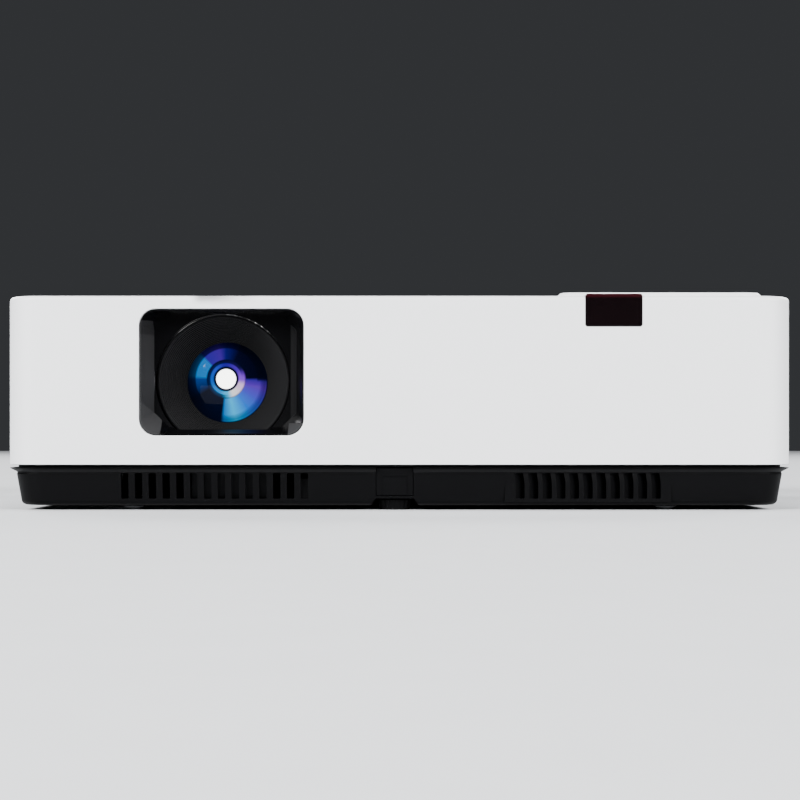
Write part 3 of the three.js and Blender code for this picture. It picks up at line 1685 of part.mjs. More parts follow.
function lampCover() {
  const [near, far] = lampCoverSpan;
  const spanY = [near + fitGap, far - fitGap];
  const seat = lampCoverSeat - fitGap;
  const above = coverTop + cutOverrun;
  const beside = side + cutOverrun;
  const lid = block([lampCoverX + fitGap, beside], spanY, [coverTop - seat, above]);
  const skirt = block([side - seat, beside], spanY, [coverTop - lampCoverSkirt + fitGap, above]);
  const sink = turnedX([
    [0, -lampCoverSeat - cutOverrun],
    [captiveShankRadius + fitGap, -lampCoverSeat - cutOverrun],
    [captiveShankRadius + fitGap, -captiveHeadHeight - fitGap],
    [captiveHeadRadius + fitGap, -2 * fitGap],
    [captiveHeadRadius + fitGap, cutOverrun],
    [0, cutOverrun],
  ], smallFacets).translate(side, lampY, coverTop - captiveDrop);
  return lid.add(skirt).intersect(coverEnvelope()).subtract(solid(sink));
}

function lampCoverScrew() {
  return solid(turnedX([
    [0, -captiveShankLength],
    [captiveShankRadius, -captiveShankLength],
    [captiveShankRadius, -captiveHeadHeight - fitGap],
    [captiveHeadRadius, -2 * fitGap],
    [captiveHeadRadius, -fitGap / 2],
    [0, -fitGap / 2],
  ], smallFacets));
}

// Feet and screws

function frontFoot() {
  const bottom = flutedOutline(footBottomRadius, footFluteDepth, footFlutes);
  const top = flutedOutline(footTopRadius, footFluteDepth, footFlutes);
  const boreSpan = [footHeight - spigotDrop - fitGap, footHeight + cutOverrun];
  const bore = cylinderZ(spigotRadius + fitGap, boreSpan, 0, 0);
  return loftUp([[0, bottom], [footHeight, top]]).subtract(bore);
}

function frontFootStem() {
  const low = footHeight + fitGap;
  const spigotLow = footHeight - spigotDrop;
  const profile = [[0, spigotLow], [spigotRadius, spigotLow], [spigotRadius, low], [stemRadius, low]];
  const pitch = (stemTop - low) / (stemGrooves + 1);
  for (let i = 1; i <= stemGrooves; i += 1) {
    const z = low + i * pitch;
    profile.push([stemRadius, z]);
    profile.push([stemRadius - stemGrooveDepth, z + pitch / 4]);
    profile.push([stemRadius, z + pitch / 2]);
  }
  profile.push([stemRadius, stemTop], [0, stemTop]);
  return solid(turnedZ(profile, smallFacets));
}

// The release is built with x round the foot's axis and y = 0 on the front face.
function footRelease() {
  const sideTop = caseTop - lipHeight - lipChamfer;
  const plate = prismX(polygon([
    [releaseFace, releaseTop],
    [releaseFace, sideTop],
    [releaseFace + releaseSlope, releaseBottom],
    [releaseBack, releaseBottom],
    [releaseBack, releaseTop],
  ]), [-releaseHalfWidth, releaseHalfWidth]);
  const pad = prismX(polygon([
    [releaseFace - fingerPadProud, fingerPadTop],
    [releaseFace + releaseSlope - fingerPadProud, releaseBottom],
    [releaseBack, releaseBottom],
    [releaseBack, fingerPadTop],
  ]), [-fingerPadHalf, fingerPadHalf]);
  const grooves = [fingerGrooveLow, fingerGrooveHigh].map((z) => block(
    around(0, 2 * (fingerPadHalf + cutOverrun)),
    [-cutOverrun, releaseFace],
    around(z, fingerGrooveHeight),
  ));
  const forkEnd = footSetback + stemRadius + fitGap + forkWall;
  const forkSpan = [releaseBack - forkWall, forkEnd];
  const fork = block(around(0, 2 * forkHalfWidth), forkSpan, [forkBottom, forkTop]);
  const stemRoom = block(
    around(0, 2 * (stemRadius + fitGap)),
    [footSetback - stemRadius - releaseTravel - fitGap, footSetback + stemRadius + fitGap],
    [forkBottom - cutOverrun, forkTop + cutOverrun],
  );
  return plate.add(cutAll(pad, grooves)).add(fork).subtract(stemRoom);
}

function rearFoot() {
  const outline = flutedOutline(rearKnobRadius, rearKnobFluteDepth, rearKnobFlutes);
  const knob = prismZ(outline, [rearKnobBottom, rearKnobTop]);
  const stud = cylinderZ(rearStudRadius, [rearKnobTop - fitGap, rearStudTop], 0, 0, smallFacets);
  const bore = cylinderZ(
    rearPadSpigotRadius + fitGap,
    [rearKnobBottom - cutOverrun, rearPadSpigotTop + fitGap],
    0,
    0,
    smallFacets,
  );
  return knob.add(stud).subtract(bore);
}

function rearPad() {
  const disc = cylinderZ(rearPadRadius, [0, rearPadThickness], 0, 0);
  const spigotSpan = [rearPadThickness / 2, rearPadSpigotTop];
  return disc.add(cylinderZ(rearPadSpigotRadius, spigotSpan, 0, 0, smallFacets));
}

function frontPad() {
  return solid(turnedZ([
    [0, frontPadLift],
    [frontPadBottomRadius, frontPadLift],
    [frontPadTopRadius, caseBottom - fitGap],
    [0, caseBottom - fitGap],
  ], roundFacets));
}

function caseScrew() {
  const headTop = screwSeat - fitGap;
  return solid(turnedZ([
    [0, headTop - screwHeadHeight],
    [screwHeadRadius, headTop - screwHeadHeight],
    [screwHeadRadius, headTop],
    [screwShankRadius, headTop],
    [screwShankRadius, screwTop],
    [0, screwTop],
  ], smallFacets));
}

// Assembly

function groupAt(x, y, z, parent) {
  const group = new THREE.Group();
  group.position.set(x, y, z);
  parent.add(group);
  return group;
}

function addCasing(body) {
  piece('lower_case', lowerCase(), blackPlastic, body);
  piece('upper_cover', upperCover(), whitePlastic, body);
  piece('lens_bezel', lensBezel(), glossBlack, body, [windowX, front, windowZ]);
  piece('ir_window', irWindow(), smokedWindow, body, [irX, front, 0]);
  piece('lamp_cover', lampCover(), whitePlastic, body);
  piece('lamp_cover_screw', lampCoverScrew(), platedSteel, body, [side, lampY, coverTop - captiveDrop]);
  piece('case_screw_left', caseScrew(), platedSteel, body, [-screwX, screwY, 0]);
  piece('case_screw_right', caseScrew(), platedSteel, body, [screwX, screwY, 0]);
}

function addControls(body) {
  const panel = groupAt(panelX, panelY, panelBottom, body);
  piece('control_panel', controlPanel(), whitePlastic, panel);
  piece('key_board', keyBoard(), circuitGreen, panel);
  piece('indicator_window', indicatorWindow(), indicatorLens, panel, [indicatorX, indicatorRow, 0]);
  keys.forEach((key) => piece(key.name, keyCap(key), whiteKey, panel, [key.x, key.y, 0]));
}

function addLens(body) {
  const lens = groupAt(lensX, front, lensZ, body);
  piece('lens_barrel', lensBarrel(), lensBlack, lens);
  piece('front_cell', frontCell(), lensBlack, lens);
  piece('front_lens', frontLens(), clearGlass, lens);
  piece('focus_ring', gripRing(focusStart), lensBlack, lens);
  piece('zoom_ring', zoomRing(), lensBlack, lens);
  piece('zoom_lens', zoomLens(), clearGlass, lens);
}

function addOptics(body) {
  piece('optics_housing', opticsHousing(), castAlloy, body);
  const prism = groupAt(lensX, front + prismSetback, lensZ, body);
  piece('combiner_prism', combinerPrism(), clearGlass, prism);
  const reach = prismSide / 2 + panelGlassGap + panelGlassThickness / 2;
  piece('red_panel', liquidCrystalPanel(), glossBlack, prism, [-reach, prismSide / 2, 0]);
  piece('blue_panel', liquidCrystalPanel(), glossBlack, prism, [reach, prismSide / 2, 0]);
  const behind = groupAt(0, prismSide / 2 + reach, 0, prism);
  behind.rotation.z = Math.PI / 2;
  piece('green_panel', liquidCrystalPanel(), glossBlack, behind);
}

function addLamp(body) {
  piece('lamp_housing', lampHousing(), lampCeramic, body);
  const mouthX = lampX - lampWidth / 2 + reflectorSetback;
  piece('lamp_reflector', lampReflector(), platedSteel, body, [mouthX, lampY, lampBottom + lampHeight / 2]);
}

function addCooling(body) {
  const exhaust = groupAt(exhaustFanX, exhaustY, exhaustZ, body);
  piece('exhaust_fan_frame', fanFrame(), blackPlastic, exhaust);
  piece('exhaust_fan_rotor', fanRotor(), blackPlastic, exhaust);
  piece('exhaust_grille', exhaustGrille(), whitePlastic, body, [0, exhaustY, exhaustZ]);
  const plateX = -sideWallInner + collarReach + fitGap + fanPlateThickness;
  const intake = groupAt(plateX, filterY, filterZ, body);
  piece('intake_fan_frame', intakeFanFrame(), blackPlastic, intake);
  piece('intake_fan_rotor', fanRotor(), blackPlastic, intake);
  const door = groupAt(-side, filterY, filterZ, body);
  piece('filter_cover', filterCover(), whitePlastic, door);
  piece('air_filter', airFilter(), filterFoam, door);
}

function addElectronics(body) {
  piece('main_board', mainBoard(), circuitGreen, body);
  piece('power_board', powerBoard(), circuitGreen, body, [powerBoardX, powerBoardY, powerBoardTop]);
  piece('speaker', speaker(), blackPlastic, body, [-sideWallInner + fitGap, speakerY, speakerZ]);
  piece('terminal_panel', terminalPanel(), blackPlastic, body);
  const atComputer = terminalPlace(computerShare, computerFlangeHeight);
  const atMonitor = terminalPlace(monitorShare, computerFlangeHeight);
  piece('computer_socket', computerSocket(), platedSteel, body, atComputer);
  piece('monitor_socket', computerSocket(), platedSteel, body, atMonitor);
  piece('hdmi_socket', hdmiSocket(), platedSteel, body, terminalPlace(hdmiShare, hdmiHeight));
  piece('usb_socket', usbSocket(), platedSteel, body, terminalPlace(usbShare, usbHeight));
  piece('lan_socket', lanSocket(), platedSteel, body, terminalPlace(lanShare, lanHeight));
  piece('audio_jacks', audioJacks(), blackPlastic, body, terminalPlace(audioShare, jackBlockHeight));
  piece('mains_inlet', mainsInlet(), blackPlastic, body, [inletX, rear, inletZ]);
}

function addFeet(body) {
  piece('front_foot', frontFoot(), blackPlastic, body, [footX, footY, 0]);
  piece('front_foot_stem', frontFootStem(), blackPlastic, body, [footX, footY, 0]);
  piece('foot_release', footRelease(), blackPlastic, body, [footX, front, 0]);
  [['left', -1], ['right', 1]].forEach(([hand, sign]) => {
    piece(`rear_foot_${hand}`, rearFoot(), blackPlastic, body, [sign * rearFootX, rearFootY, 0]);
    piece(`rear_pad_${hand}`, rearPad(), blackRubber, body, [sign * rearFootX, rearFootY, 0]);
    piece(`front_pad_${hand}`, frontPad(), greyRubber, body, [sign * frontPadX, front + frontPadInset, 0]);
  });
}

const projector = new THREE.Group();
addCasing(projector);
addControls(projector);
addLens(projector);
addOptics(projector);
addLamp(projector);
addCooling(projector);
addElectronics(projector);
addFeet(projector);

export default projector;
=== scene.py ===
"""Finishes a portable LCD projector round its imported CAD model, with its floor, lights and camera.

Shapes are modelled in millimetres on the frame's own axes: +X to the right of someone who
faces the lens, the front towards -Y and +Z up. A finished piece is then brought to metres.
"""

import json
import math

import bmesh
import bpy
from mathutils import Matrix, Vector

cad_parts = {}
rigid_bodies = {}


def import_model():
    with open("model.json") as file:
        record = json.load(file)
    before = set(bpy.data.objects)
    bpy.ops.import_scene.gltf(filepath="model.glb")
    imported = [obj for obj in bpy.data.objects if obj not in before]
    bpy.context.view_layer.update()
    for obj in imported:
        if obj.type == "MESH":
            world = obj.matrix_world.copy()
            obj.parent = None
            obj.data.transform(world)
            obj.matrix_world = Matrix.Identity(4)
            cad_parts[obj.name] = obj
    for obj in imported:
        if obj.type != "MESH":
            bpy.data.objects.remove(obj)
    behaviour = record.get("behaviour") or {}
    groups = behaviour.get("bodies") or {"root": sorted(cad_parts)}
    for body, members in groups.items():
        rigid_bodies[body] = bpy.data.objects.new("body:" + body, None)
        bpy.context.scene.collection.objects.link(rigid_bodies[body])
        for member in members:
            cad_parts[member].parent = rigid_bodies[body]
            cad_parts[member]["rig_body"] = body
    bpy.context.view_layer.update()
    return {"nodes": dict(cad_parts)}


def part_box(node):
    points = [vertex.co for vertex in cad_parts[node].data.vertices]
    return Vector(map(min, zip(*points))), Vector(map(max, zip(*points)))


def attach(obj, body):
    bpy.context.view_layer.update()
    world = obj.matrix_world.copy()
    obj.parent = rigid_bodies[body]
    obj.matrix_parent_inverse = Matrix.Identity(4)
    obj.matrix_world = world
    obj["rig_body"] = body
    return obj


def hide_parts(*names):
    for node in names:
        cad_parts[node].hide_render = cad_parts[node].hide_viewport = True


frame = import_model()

bl_info = {
    "name": "Projector Finisher",
    "version": (1, 0, 0),
    "blender": (4, 5, 0),
    "location": "3D View > Sidebar > Projector",
    "description": "Builds the shells, lens, keys, sockets and feet of a portable projector",
    "category": "Object",
}

MM = 0.001


def box_mm(node):
    """Lowest and highest corner of a CAD node, in millimetres."""
    low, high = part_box(node)
    return low / MM, high / MM


def span(node):
    """Lowest corner, highest corner and middle of a CAD node, in millimetres."""
    low, high = box_mm(node)
    return low, high, (low + high) / 2


def middle(node):
    return span(node)[2]


def plan(point):
    """The place on the floor below a point."""
    return (point.x, point.y, 0)


# Lines that the frame gives
COVER_LOW, COVER_HIGH = box_mm("upper_cover")
FRONT, REAR = COVER_LOW.y, COVER_HIGH.y
SIDE, TOP = COVER_HIGH.x, COVER_HIGH.z
WIDTH, DEPTH = 2 * SIDE, REAR - FRONT
BEZEL_LOW, BEZEL_HIGH = box_mm("lens_bezel")
CELL_LOW, CELL_HIGH, LENS = span("front_cell")
LENS_AXIS = (LENS.x, FRONT, LENS.z)
CELL_RADIUS = (CELL_HIGH.x - CELL_LOW.x) / 2
FOOT = middle("front_foot")

# A running gap between two pieces, and how far a cutter goes past what it cuts
FIT, PAST = 0.3, 4.0

# Heights of the two shells, and the lip, draft and tongue of the lower one
SEAM, CASE_TOP, CASE_BOTTOM, FLOOR_TOP = 20.3, 19.0, 2.1, 4.6
LIP, LIP_SLOPE, LIP_INSET = 0.35, 1.65, 2.6
DRAFT, TONGUE_WALL, TONGUE_TOP = 1.8, 1.7, 23.3


# Settings

def length(name, description, default):
    return bpy.props.FloatProperty(
        name=name, description=description, default=default * MM, min=0, precision=5,
        unit="LENGTH", subtype="DISTANCE",
    )


def linear(code):
    """An sRGB hex colour as the linear red, green, blue and alpha that sockets take."""
    channels = [int(code[place:place + 2], 16) / 255 for place in (0, 2, 4)]
    curve = [c / 12.92 if c <= 0.04045 else ((c + 0.055) / 1.055) ** 2.4 for c in channels]
    return (*curve, 1.0)


def tint(name, description, code):
    return bpy.props.FloatVectorProperty(
        name=name, description=description, default=linear(code), size=4, min=0, max=1,
        subtype="COLOR",
    )


class ShellSizes(bpy.types.PropertyGroup):
    """Sizes of the two shells."""

    corner: length("Plan corner", "Radius of the upright corners of both shells", 13)
    wall: length("Cover wall", "Thickness of the upper cover's walls", 3)
    top_edge: length("Top edge", "Radius along the cover's top edge", 2)
    bottom_edge: length("Bottom edge", "Radius along the lower case's bottom edge", 2.5)
    case_wall: length("Case wall", "Thickness of the lower case's walls", 2.6)
    rolled: length("Rolled edge", "Radius round the openings in the cover", 0.4)


class LensSizes(bpy.types.PropertyGroup):
    """Sizes of the lens opening and of what shows in it."""

    opening_width: length("Opening width", "Width of the opening in the cover", 73.2)
    opening_height: length("Opening height", "Height of the opening in the cover", 56.3)
    opening_corner: length("Opening corner", "Corner radius of the opening", 7.5)
    funnel_depth: length("Funnel depth", "Depth of the lens surround's funnel", 11)
    facet: length("Throat facet", "Straight corner facet at the bottom of the funnel", 7.5)
    ridge: length("Ridge", "Spacing of the anti-glare ridges in the front cell", 0.62)


class KeySizes(bpy.types.PropertyGroup):
    """Sizes of the keys and their marks."""

    edge: length("Key edge", "Radius along a key's top edge", 0.5)
    mark: length("Mark height", "How far a printed mark stands off its key", 0.04)
    stroke: length("Mark stroke", "Width of the strokes of a printed mark", 0.55)


class FinishColours(bpy.types.PropertyGroup):
    """Colours of the finishes that a user may change."""

    cover: tint("Cover", "White of the upper cover", "E9EAEC")
    key: tint("Keys", "Pale grey of the keys", "B9BDC3")
    case: tint("Case", "Black of the lower case", "040405")
    funnel: tint("Lens surround", "Black of the polished lens surround", "050506")
    # Painted light: the grey laid over the lit satin wall, lower facets and ledge of the lens
    # surround
    satin_and_painted_light: tint("Satin wall", "Grey of the lens surround's satin wall", "222223")
    window: tint("Receiver window", "Red of the infrared window", "060203")


GROUPS = {
    "projector_shell": ShellSizes,
    "projector_lens": LensSizes,
    "projector_keys": KeySizes,
    "projector_colours": FinishColours,
}


def size(name):
    """A setting's value in millimetres, from the group that holds it."""
    groups = (getattr(bpy.context.scene, group) for group in GROUPS)
    return next(getattr(group, name) for group in groups if hasattr(group, name)) / MM


def colour(name):
    return tuple(getattr(bpy.context.scene.projector_colours, name))


# Shapes

AXES = {
    "up": Matrix.Identity(4),
    "back": Matrix(((1, 0, 0, 0), (0, 0, 1, 0), (0, 1, 0, 0), (0, 0, 0, 1))),
    "right": Matrix(((0, 0, 1, 0), (1, 0, 0, 0), (0, 1, 0, 0), (0, 0, 0, 1))),
}


def placed(shape, axis="up", at=(0, 0, 0)):
    """Turns a shape that was built upwards so that it runs up, back or right, and moves it."""
    bmesh.ops.transform(shape, matrix=Matrix.Translation(at) @ AXES[axis], verts=shape.verts)
    bmesh.ops.recalc_face_normals(shape, faces=shape.faces)
    return shape


def moved(shape, at):
    bmesh.ops.translate(shape, vec=at, verts=shape.verts)
    return shape


def slanted(shape, row, column, slant, at):
    """Leans one axis of a shape, the row, along another, the column, and moves the shape."""
    lean = Matrix.Translation(at)
    lean[row][column] = slant
    bmesh.ops.transform(shape, matrix=lean, verts=shape.verts)
    return shape


def lifted(shape, levels, reach):
    """Carries a flat face through levels, each a height and an inset of its outline."""
    shape.faces.ensure_lookup_table()
    face, height, inset = shape.faces[0], 0.0, 0.0
    for count, (next_height, next_inset) in enumerate(levels):
        if count:
            inner = face
            grown = bmesh.ops.extrude_face_region(shape, geom=[inner])["geom"]
            face = next(part for part in grown if isinstance(part, bmesh.types.BMFace))
            if count > 1:
                bmesh.ops.delete(shape, geom=[inner], context="FACES_ONLY")
        verts = list(face.verts)
        stretch = [(side - next_inset) / (side - inset) for side in reach]
        bmesh.ops.scale(shape, vec=(*stretch, 1), verts=verts)
        bmesh.ops.translate(shape, vec=(0, 0, next_height - height), verts=verts)
        height, inset = next_height, next_inset
    return shape


def rounded(shape, corners, radius, steps):
    """Rounds corners of a flat face in its own plane."""
    bmesh.ops.bevel(
        shape, geom=corners, offset=radius, offset_type="OFFSET", segments=steps, profile=0.5,
        affect="VERTICES", material=-1,
    )


def plate(width, depth, corner=0.0, steps=8):
    """One flat face, a rectangle with round corners."""
    shape = bmesh.new()
    bmesh.ops.create_grid(shape, x_segments=1, y_segments=1, size=0.5)
    bmesh.ops.scale(shape, vec=(width, depth, 1), verts=shape.verts)
    if corner > 0:
        rounded(shape, list(shape.verts), corner, steps)
    return shape


def raised(width, depth, levels, corner=0.0, steps=8, axis="up", at=(0, 0, 0)):
    """A rounded rectangle carried through levels of height and inset."""
    shape = plate(width, depth, corner, steps)
    lifted(shape, levels, (width / 2, depth / 2))
    return placed(shape, axis, at)


def roll(height, radius, rising, steps=4):
    """Levels round an edge: from upright to level when rising, else from level to upright."""
    levels = []
    for step in range(steps + 1):
        turn = math.radians(90) * step / steps
        if rising:
            levels.append((height - radius * (1 - math.sin(turn)), radius * (1 - math.cos(turn))))
        else:
            levels.append((height + radius * (1 - math.cos(turn)), radius * (1 - math.sin(turn))))
    return levels


def opening(width, height, corner, deep, axis, at, edge=0.0, steps=8, back=False):
    """A cutter for an opening whose edge is rolled over. It starts ahead of the outer face."""
    way = -1 if back else 1
    levels = [(-PAST, -edge), (-0.02, -edge)]
    if edge:
        levels += [(edge - rise, -run) for rise, run in reversed(roll(edge, edge, True))]
    levels = [(way * rise, inset) for rise, inset in levels + [(deep, 0)]]
    return raised(width, height, levels, corner, steps, axis, at)


def rod(radius, low, high, axis="up", at=(0, 0, 0), steps=32, edge=0.0):
    """A solid cylinder, with its two rims broken by a small slope."""
    shape = bmesh.new()
    bmesh.ops.create_circle(shape, cap_ends=True, segments=steps, radius=radius)
    levels = [(low, 0), (high, 0)]
    if edge:
        levels = [(low, edge), (low + edge, 0), (high - edge, 0), (high, edge)]
    lifted(shape, levels, (radius, radius))
    return placed(shape, axis, at)


def fluted(radius, depth, count, levels, axis="up", at=(0, 0, 0), points=6):
    """A grip with round flutes, carried through levels of height and inset."""
    shape = bmesh.new()
    made = bmesh.ops.create_circle(shape, cap_ends=True, segments=count * points, radius=radius)
    for vert in made["verts"]:
        turn = math.atan2(vert.co.y, vert.co.x) * count
        vert.co *= 1 - depth / radius * (0.5 - 0.5 * math.cos(turn))
    lifted(shape, levels, (radius, radius))
    return placed(shape, axis, at)


def block(low, high):
    """A square block between two corners."""
    low, high = Vector(low), Vector(high)
    shape = bmesh.new()
    bmesh.ops.create_cube(shape, size=1)
    bmesh.ops.scale(shape, vec=high - low, verts=shape.verts)
    return moved(shape, (low + high) / 2)


def turned(profile, axis="up", at=(0, 0, 0), steps=96, ring=True):
    """Spins a profile of radius and distance round an axis. A ring's profile is closed."""
    shape = bmesh.new()
    points = [shape.verts.new((radius, 0, along)) for radius, along in profile]
    ends = points[1:] + points[:1] if ring else points[1:]
    lines = [shape.edges.new(pair) for pair in zip(points, ends)]
    bmesh.ops.spin(
        shape, geom=points + lines, cent=(0, 0, 0), axis=(0, 0, 1), angle=2 * math.pi,
        steps=steps, use_merge=True,
    )
    bmesh.ops.remove_doubles(shape, verts=shape.verts, dist=MM)
    return placed(shape, axis, at)


def meshed(shape, name):
    """A shape as mesh data. The shape is used up."""
    mesh = bpy.data.meshes.new(name)
    shape.to_mesh(mesh)
    shape.free()
    return mesh


def linked(name, data):
    """A new object in the scene, with its data."""
    made = bpy.data.objects.new(name, data)
    bpy.context.scene.collection.objects.link(made)
    return made


def together(shapes):
    """Several shapes as one. The sources are used up."""
    whole = bmesh.new()
    for shape in shapes:
        mesh = meshed(shape, "joined")
        whole.from_mesh(mesh)
        bpy.data.meshes.remove(mesh)
    return whole


def combined(shape, tools, operation):
    """Cuts, joins or keeps what tools and shape share, with a Boolean that is applied at once."""
    target = linked("lent", meshed(shape, "lent"))
    tool = linked("lent", meshed(together(tools), "lent"))
    modifier = target.modifiers.new("combined", "BOOLEAN")
    modifier.operation = operation
    modifier.solver = "EXACT"
    modifier.use_self = True
    modifier.object = tool
    graph = bpy.context.evaluated_depsgraph_get()
    mesh = bpy.data.meshes.new_from_object(target.evaluated_get(graph))
    result = bmesh.new()
    result.from_mesh(mesh)
    for used in (target, tool):
        data = used.data
        bpy.data.objects.remove(used)
        bpy.data.meshes.remove(data)
    bpy.data.meshes.remove(mesh)
    bmesh.ops.remove_doubles(result, verts=result.verts, dist=MM)
    if not result.faces:
        raise RuntimeError("a Boolean left nothing")
    return result


def cut(shape, *tools):
    return combined(shape, tools, "DIFFERENCE")


def joined(shape, *tools):
    return combined(shape, tools, "UNION")


def shared(shape, *tools):
    return combined(shape, tools, "INTERSECT")


def eased(shape, width, segments=2, sharpest=35):
    """Breaks every edge that turns by more than an angle, in degrees."""
    flat = math.radians(0.5)
    bmesh.ops.dissolve_limit(shape, angle_limit=flat, verts=shape.verts, edges=shape.edges)
    limit = math.radians(sharpest)
    corners = [e for e in shape.edges if e.is_manifold and e.calc_face_angle(0) > limit]
    bmesh.ops.bevel(
        shape, geom=corners, offset=width, offset_type="OFFSET", segments=segments, profile=0.5,
        affect="EDGES", clamp_overlap=True, material=-1,
    )
    return shape


def copied(node, edge=0.0, segments=2, sharpest=35):
    """A merged copy of a CAD node's mesh, in millimetres, with its edges broken."""
    shape = bmesh.new()
    shape.from_mesh(frame["nodes"][node].data)
    bmesh.ops.scale(shape, vec=Vector((1, 1, 1)) / MM, verts=shape.verts)
    bmesh.ops.remove_doubles(shape, verts=shape.verts, dist=MM)
    return eased(shape, edge, segments, sharpest) if edge else shape


def body_of(node):
    return frame["nodes"][node]["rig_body"]


def finished(shape, name, node, material, stands_for=True, smooth=32):
    """Makes a shape a piece of the object: in metres, smooth shaded, on the node's own body."""
    bmesh.ops.recalc_face_normals(shape, faces=shape.faces)
    bmesh.ops.scale(shape, vec=Vector((MM, MM, MM)), verts=shape.verts)
    mesh = meshed(shape, name)
    mesh.shade_smooth()
    mesh.set_sharp_from_angle(angle=math.radians(smooth))
    mesh.materials.append(material)
    piece = linked(name, mesh)
    weighted = piece.modifiers.new("flat faces stay flat", "WEIGHTED_NORMAL")
    weighted.keep_sharp = True
    weighted.weight = 100
    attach(piece, body_of(node))
    if stands_for:
        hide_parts(node)
    return piece


# Finishes

def add(tree, kind, values=None, **settings):
    """Adds a node with its settings. Values go to its inputs: a constant, or a socket to link."""
    node = tree.nodes.new(kind)
    for name, value in settings.items():
        setattr(node, name, value)
    for name, value in (values or {}).items():
        if isinstance(value, bpy.types.NodeSocket):
            tree.links.new(value, node.inputs[name])
        else:
            node.inputs[name].default_value = value
    return node


def started(name):
    """An empty material, and the place on the object that its patterns read."""
    made = bpy.data.materials.new(name)
    made.use_nodes = True
    made.node_tree.nodes.clear()
    return made, made.node_tree, add(made.node_tree, "ShaderNodeTexCoord").outputs["Object"]


def closed(made, base, rough, **more):
    """Ends a material with its shader. More inputs go by their names, with _ for a space."""
    values = {name.replace("_", " "): value for name, value in more.items()}
    values |= {"Base Color": base, "Roughness": rough}
    shader = add(made.node_tree, "ShaderNodeBsdfPrincipled", values)
    add(made.node_tree, "ShaderNodeOutputMaterial", {"Surface": shader.outputs["BSDF"]})
    return made


def per_mm(width):
    """The scale of a pattern whose features are this many millimetres wide."""
    return 1 / (width * MM)


def scaled(code, factor):
    return (*(channel * factor for channel in code[:3]), 1.0)


def mixed(tree, factor, low, high, **settings):
    """A colour between two, by a factor."""
    values = {0: factor, 6: low, 7: high}
    return add(tree, "ShaderNodeMix", values, data_type="RGBA", **settings).outputs[2]


def noise(tree, place, width, detail, **more):
    values = {"Vector": place, "Scale": per_mm(width), "Detail": detail, **more}
    return add(tree, "ShaderNodeTexNoise", values).outputs["Fac"]


def spread(tree, value, low, high):
    """A value from 0 to 1 laid over a range."""
    values = {"Value": value, "To Min": low, "To Max": high}
    return add(tree, "ShaderNodeMapRange", values).outputs["Result"]


def bumped(tree, height, relief, **settings):
    """The normal of a relief in millimetres."""
    values = {"Height": height, "Strength": 1.0, "Distance": relief * MM}
    return add(tree, "ShaderNodeBump", values, **settings).outputs["Normal"]


def band(tree, value, start, end, unit=MM):
    """One past the end of a range and nothing before its start, with a soft step between."""
    values = {"Value": value, "From Min": start * unit, "From Max": end * unit}
    soft = add(tree, "ShaderNodeMapRange", values, interpolation_type="SMOOTHSTEP")
    return soft.outputs["Result"]


def worked(tree, operation, *values):
    """The result of an arithmetic node."""
    values = dict(enumerate(values))
    return add(tree, "ShaderNodeMath", values, operation=operation).outputs["Value"]


def product(tree, first, *others):
    for other in others:
        first = worked(tree, "MULTIPLY", first, other)
    return first


def axes(tree, place):
    """The X, Y and Z of a place."""
    parts = add(tree, "ShaderNodeSeparateXYZ", {"Vector": place})
    return [parts.outputs[axis] for axis in "XYZ"]


def grained(name, base, rough, grain, relief, drift=0.04, patch=40, **more):
    """A surface whose colour drifts over patches and whose grain stands up by a relief in mm."""
    made, tree, place = started(name)
    patches = noise(tree, place, patch, 3.0)
    tone = mixed(tree, patches, scaled(base, 1 - drift), scaled(base, 1 + drift))
    pits = noise(tree, place, grain, 4.0, Roughness=0.6)
    gloss = spread(tree, pits, rough - 0.06, rough + 0.06)
    return closed(made, tone, gloss, Normal=bumped(tree, pits, relief), **more)


def metal(name, code, rough, streak, stretch=(1, 1, 12), relief=0.004):
    """A metal whose fine streaks run along one axis."""
    made, tree, place = started(name)
    scale = [per_mm(streak) / share for share in stretch]
    drawn = add(tree, "ShaderNodeMapping", {"Vector": place, "Scale": scale}).outputs["Vector"]
    streaks = add(
        tree, "ShaderNodeTexNoise", {"Vector": drawn, "Scale": 1.0, "Detail": 5.0}
    ).outputs["Fac"]
    base = linear(code)
    tone = mixed(tree, streaks, scaled(base, 0.9), scaled(base, 1.06))
    gloss = spread(tree, streaks, rough - 0.06, rough + 0.08)
    return closed(made, tone, gloss, Metallic=1.0, Normal=bumped(tree, streaks, relief))


def tinted(made, amount, shade):
    """Mixes a shade over a made material's own colour, by an amount from 0 to 1; used for painted
    shade and painted highlights.
    """
    tree = made.node_tree
    shader = next(node for node in tree.nodes if node.type == "BSDF_PRINCIPLED")
    socket = shader.inputs["Base Color"]
    plain = socket.links[0].from_socket
    tree.links.new(mixed(tree, amount, plain, shade), socket)
    return made


def cover_abs():
    # White ABS from a finely etched mould. Its grain of about 0.1 mm is drawn as 0.5 mm, the
    # finest that shows, and gives the broad soft sheen of the photograph.
    return grained("moulded white ABS", colour("cover"), 0.42, 0.5, 0.012, drift=0.012, IOR=1.54)


def painted_scoop_shade_abs():
    # The cover's ABS with painted shade: greyed in the shallow scoop over the lens, which turns away
    # from the light.
    made = cover_abs()
    tree = made.node_tree
    x, y, z = axes(tree, add(tree, "ShaderNodeTexCoord").outputs["Object"])
    shade = product(
        tree, band(tree, x, LENS.x - 14, LENS.x - 8.5), band(tree, x, LENS.x + 20, LENS.x - 6),
        band(tree, y, FRONT + 2.2, FRONT + 1.6), band(tree, z, TOP - 4.6, TOP - 0.4),
    )
    return tinted(made, shade, scaled(colour("cover"), 0.34))


def case_abs():
    # Black ABS from a spark-eroded mould: matt, with pits of 0.3 mm drawn as 0.6 mm.
    return grained(
        "spark-eroded black ABS", colour("case"), 0.5, 0.6, 0.015, drift=0.1,
        Specular_IOR_Level=0.06,
    )


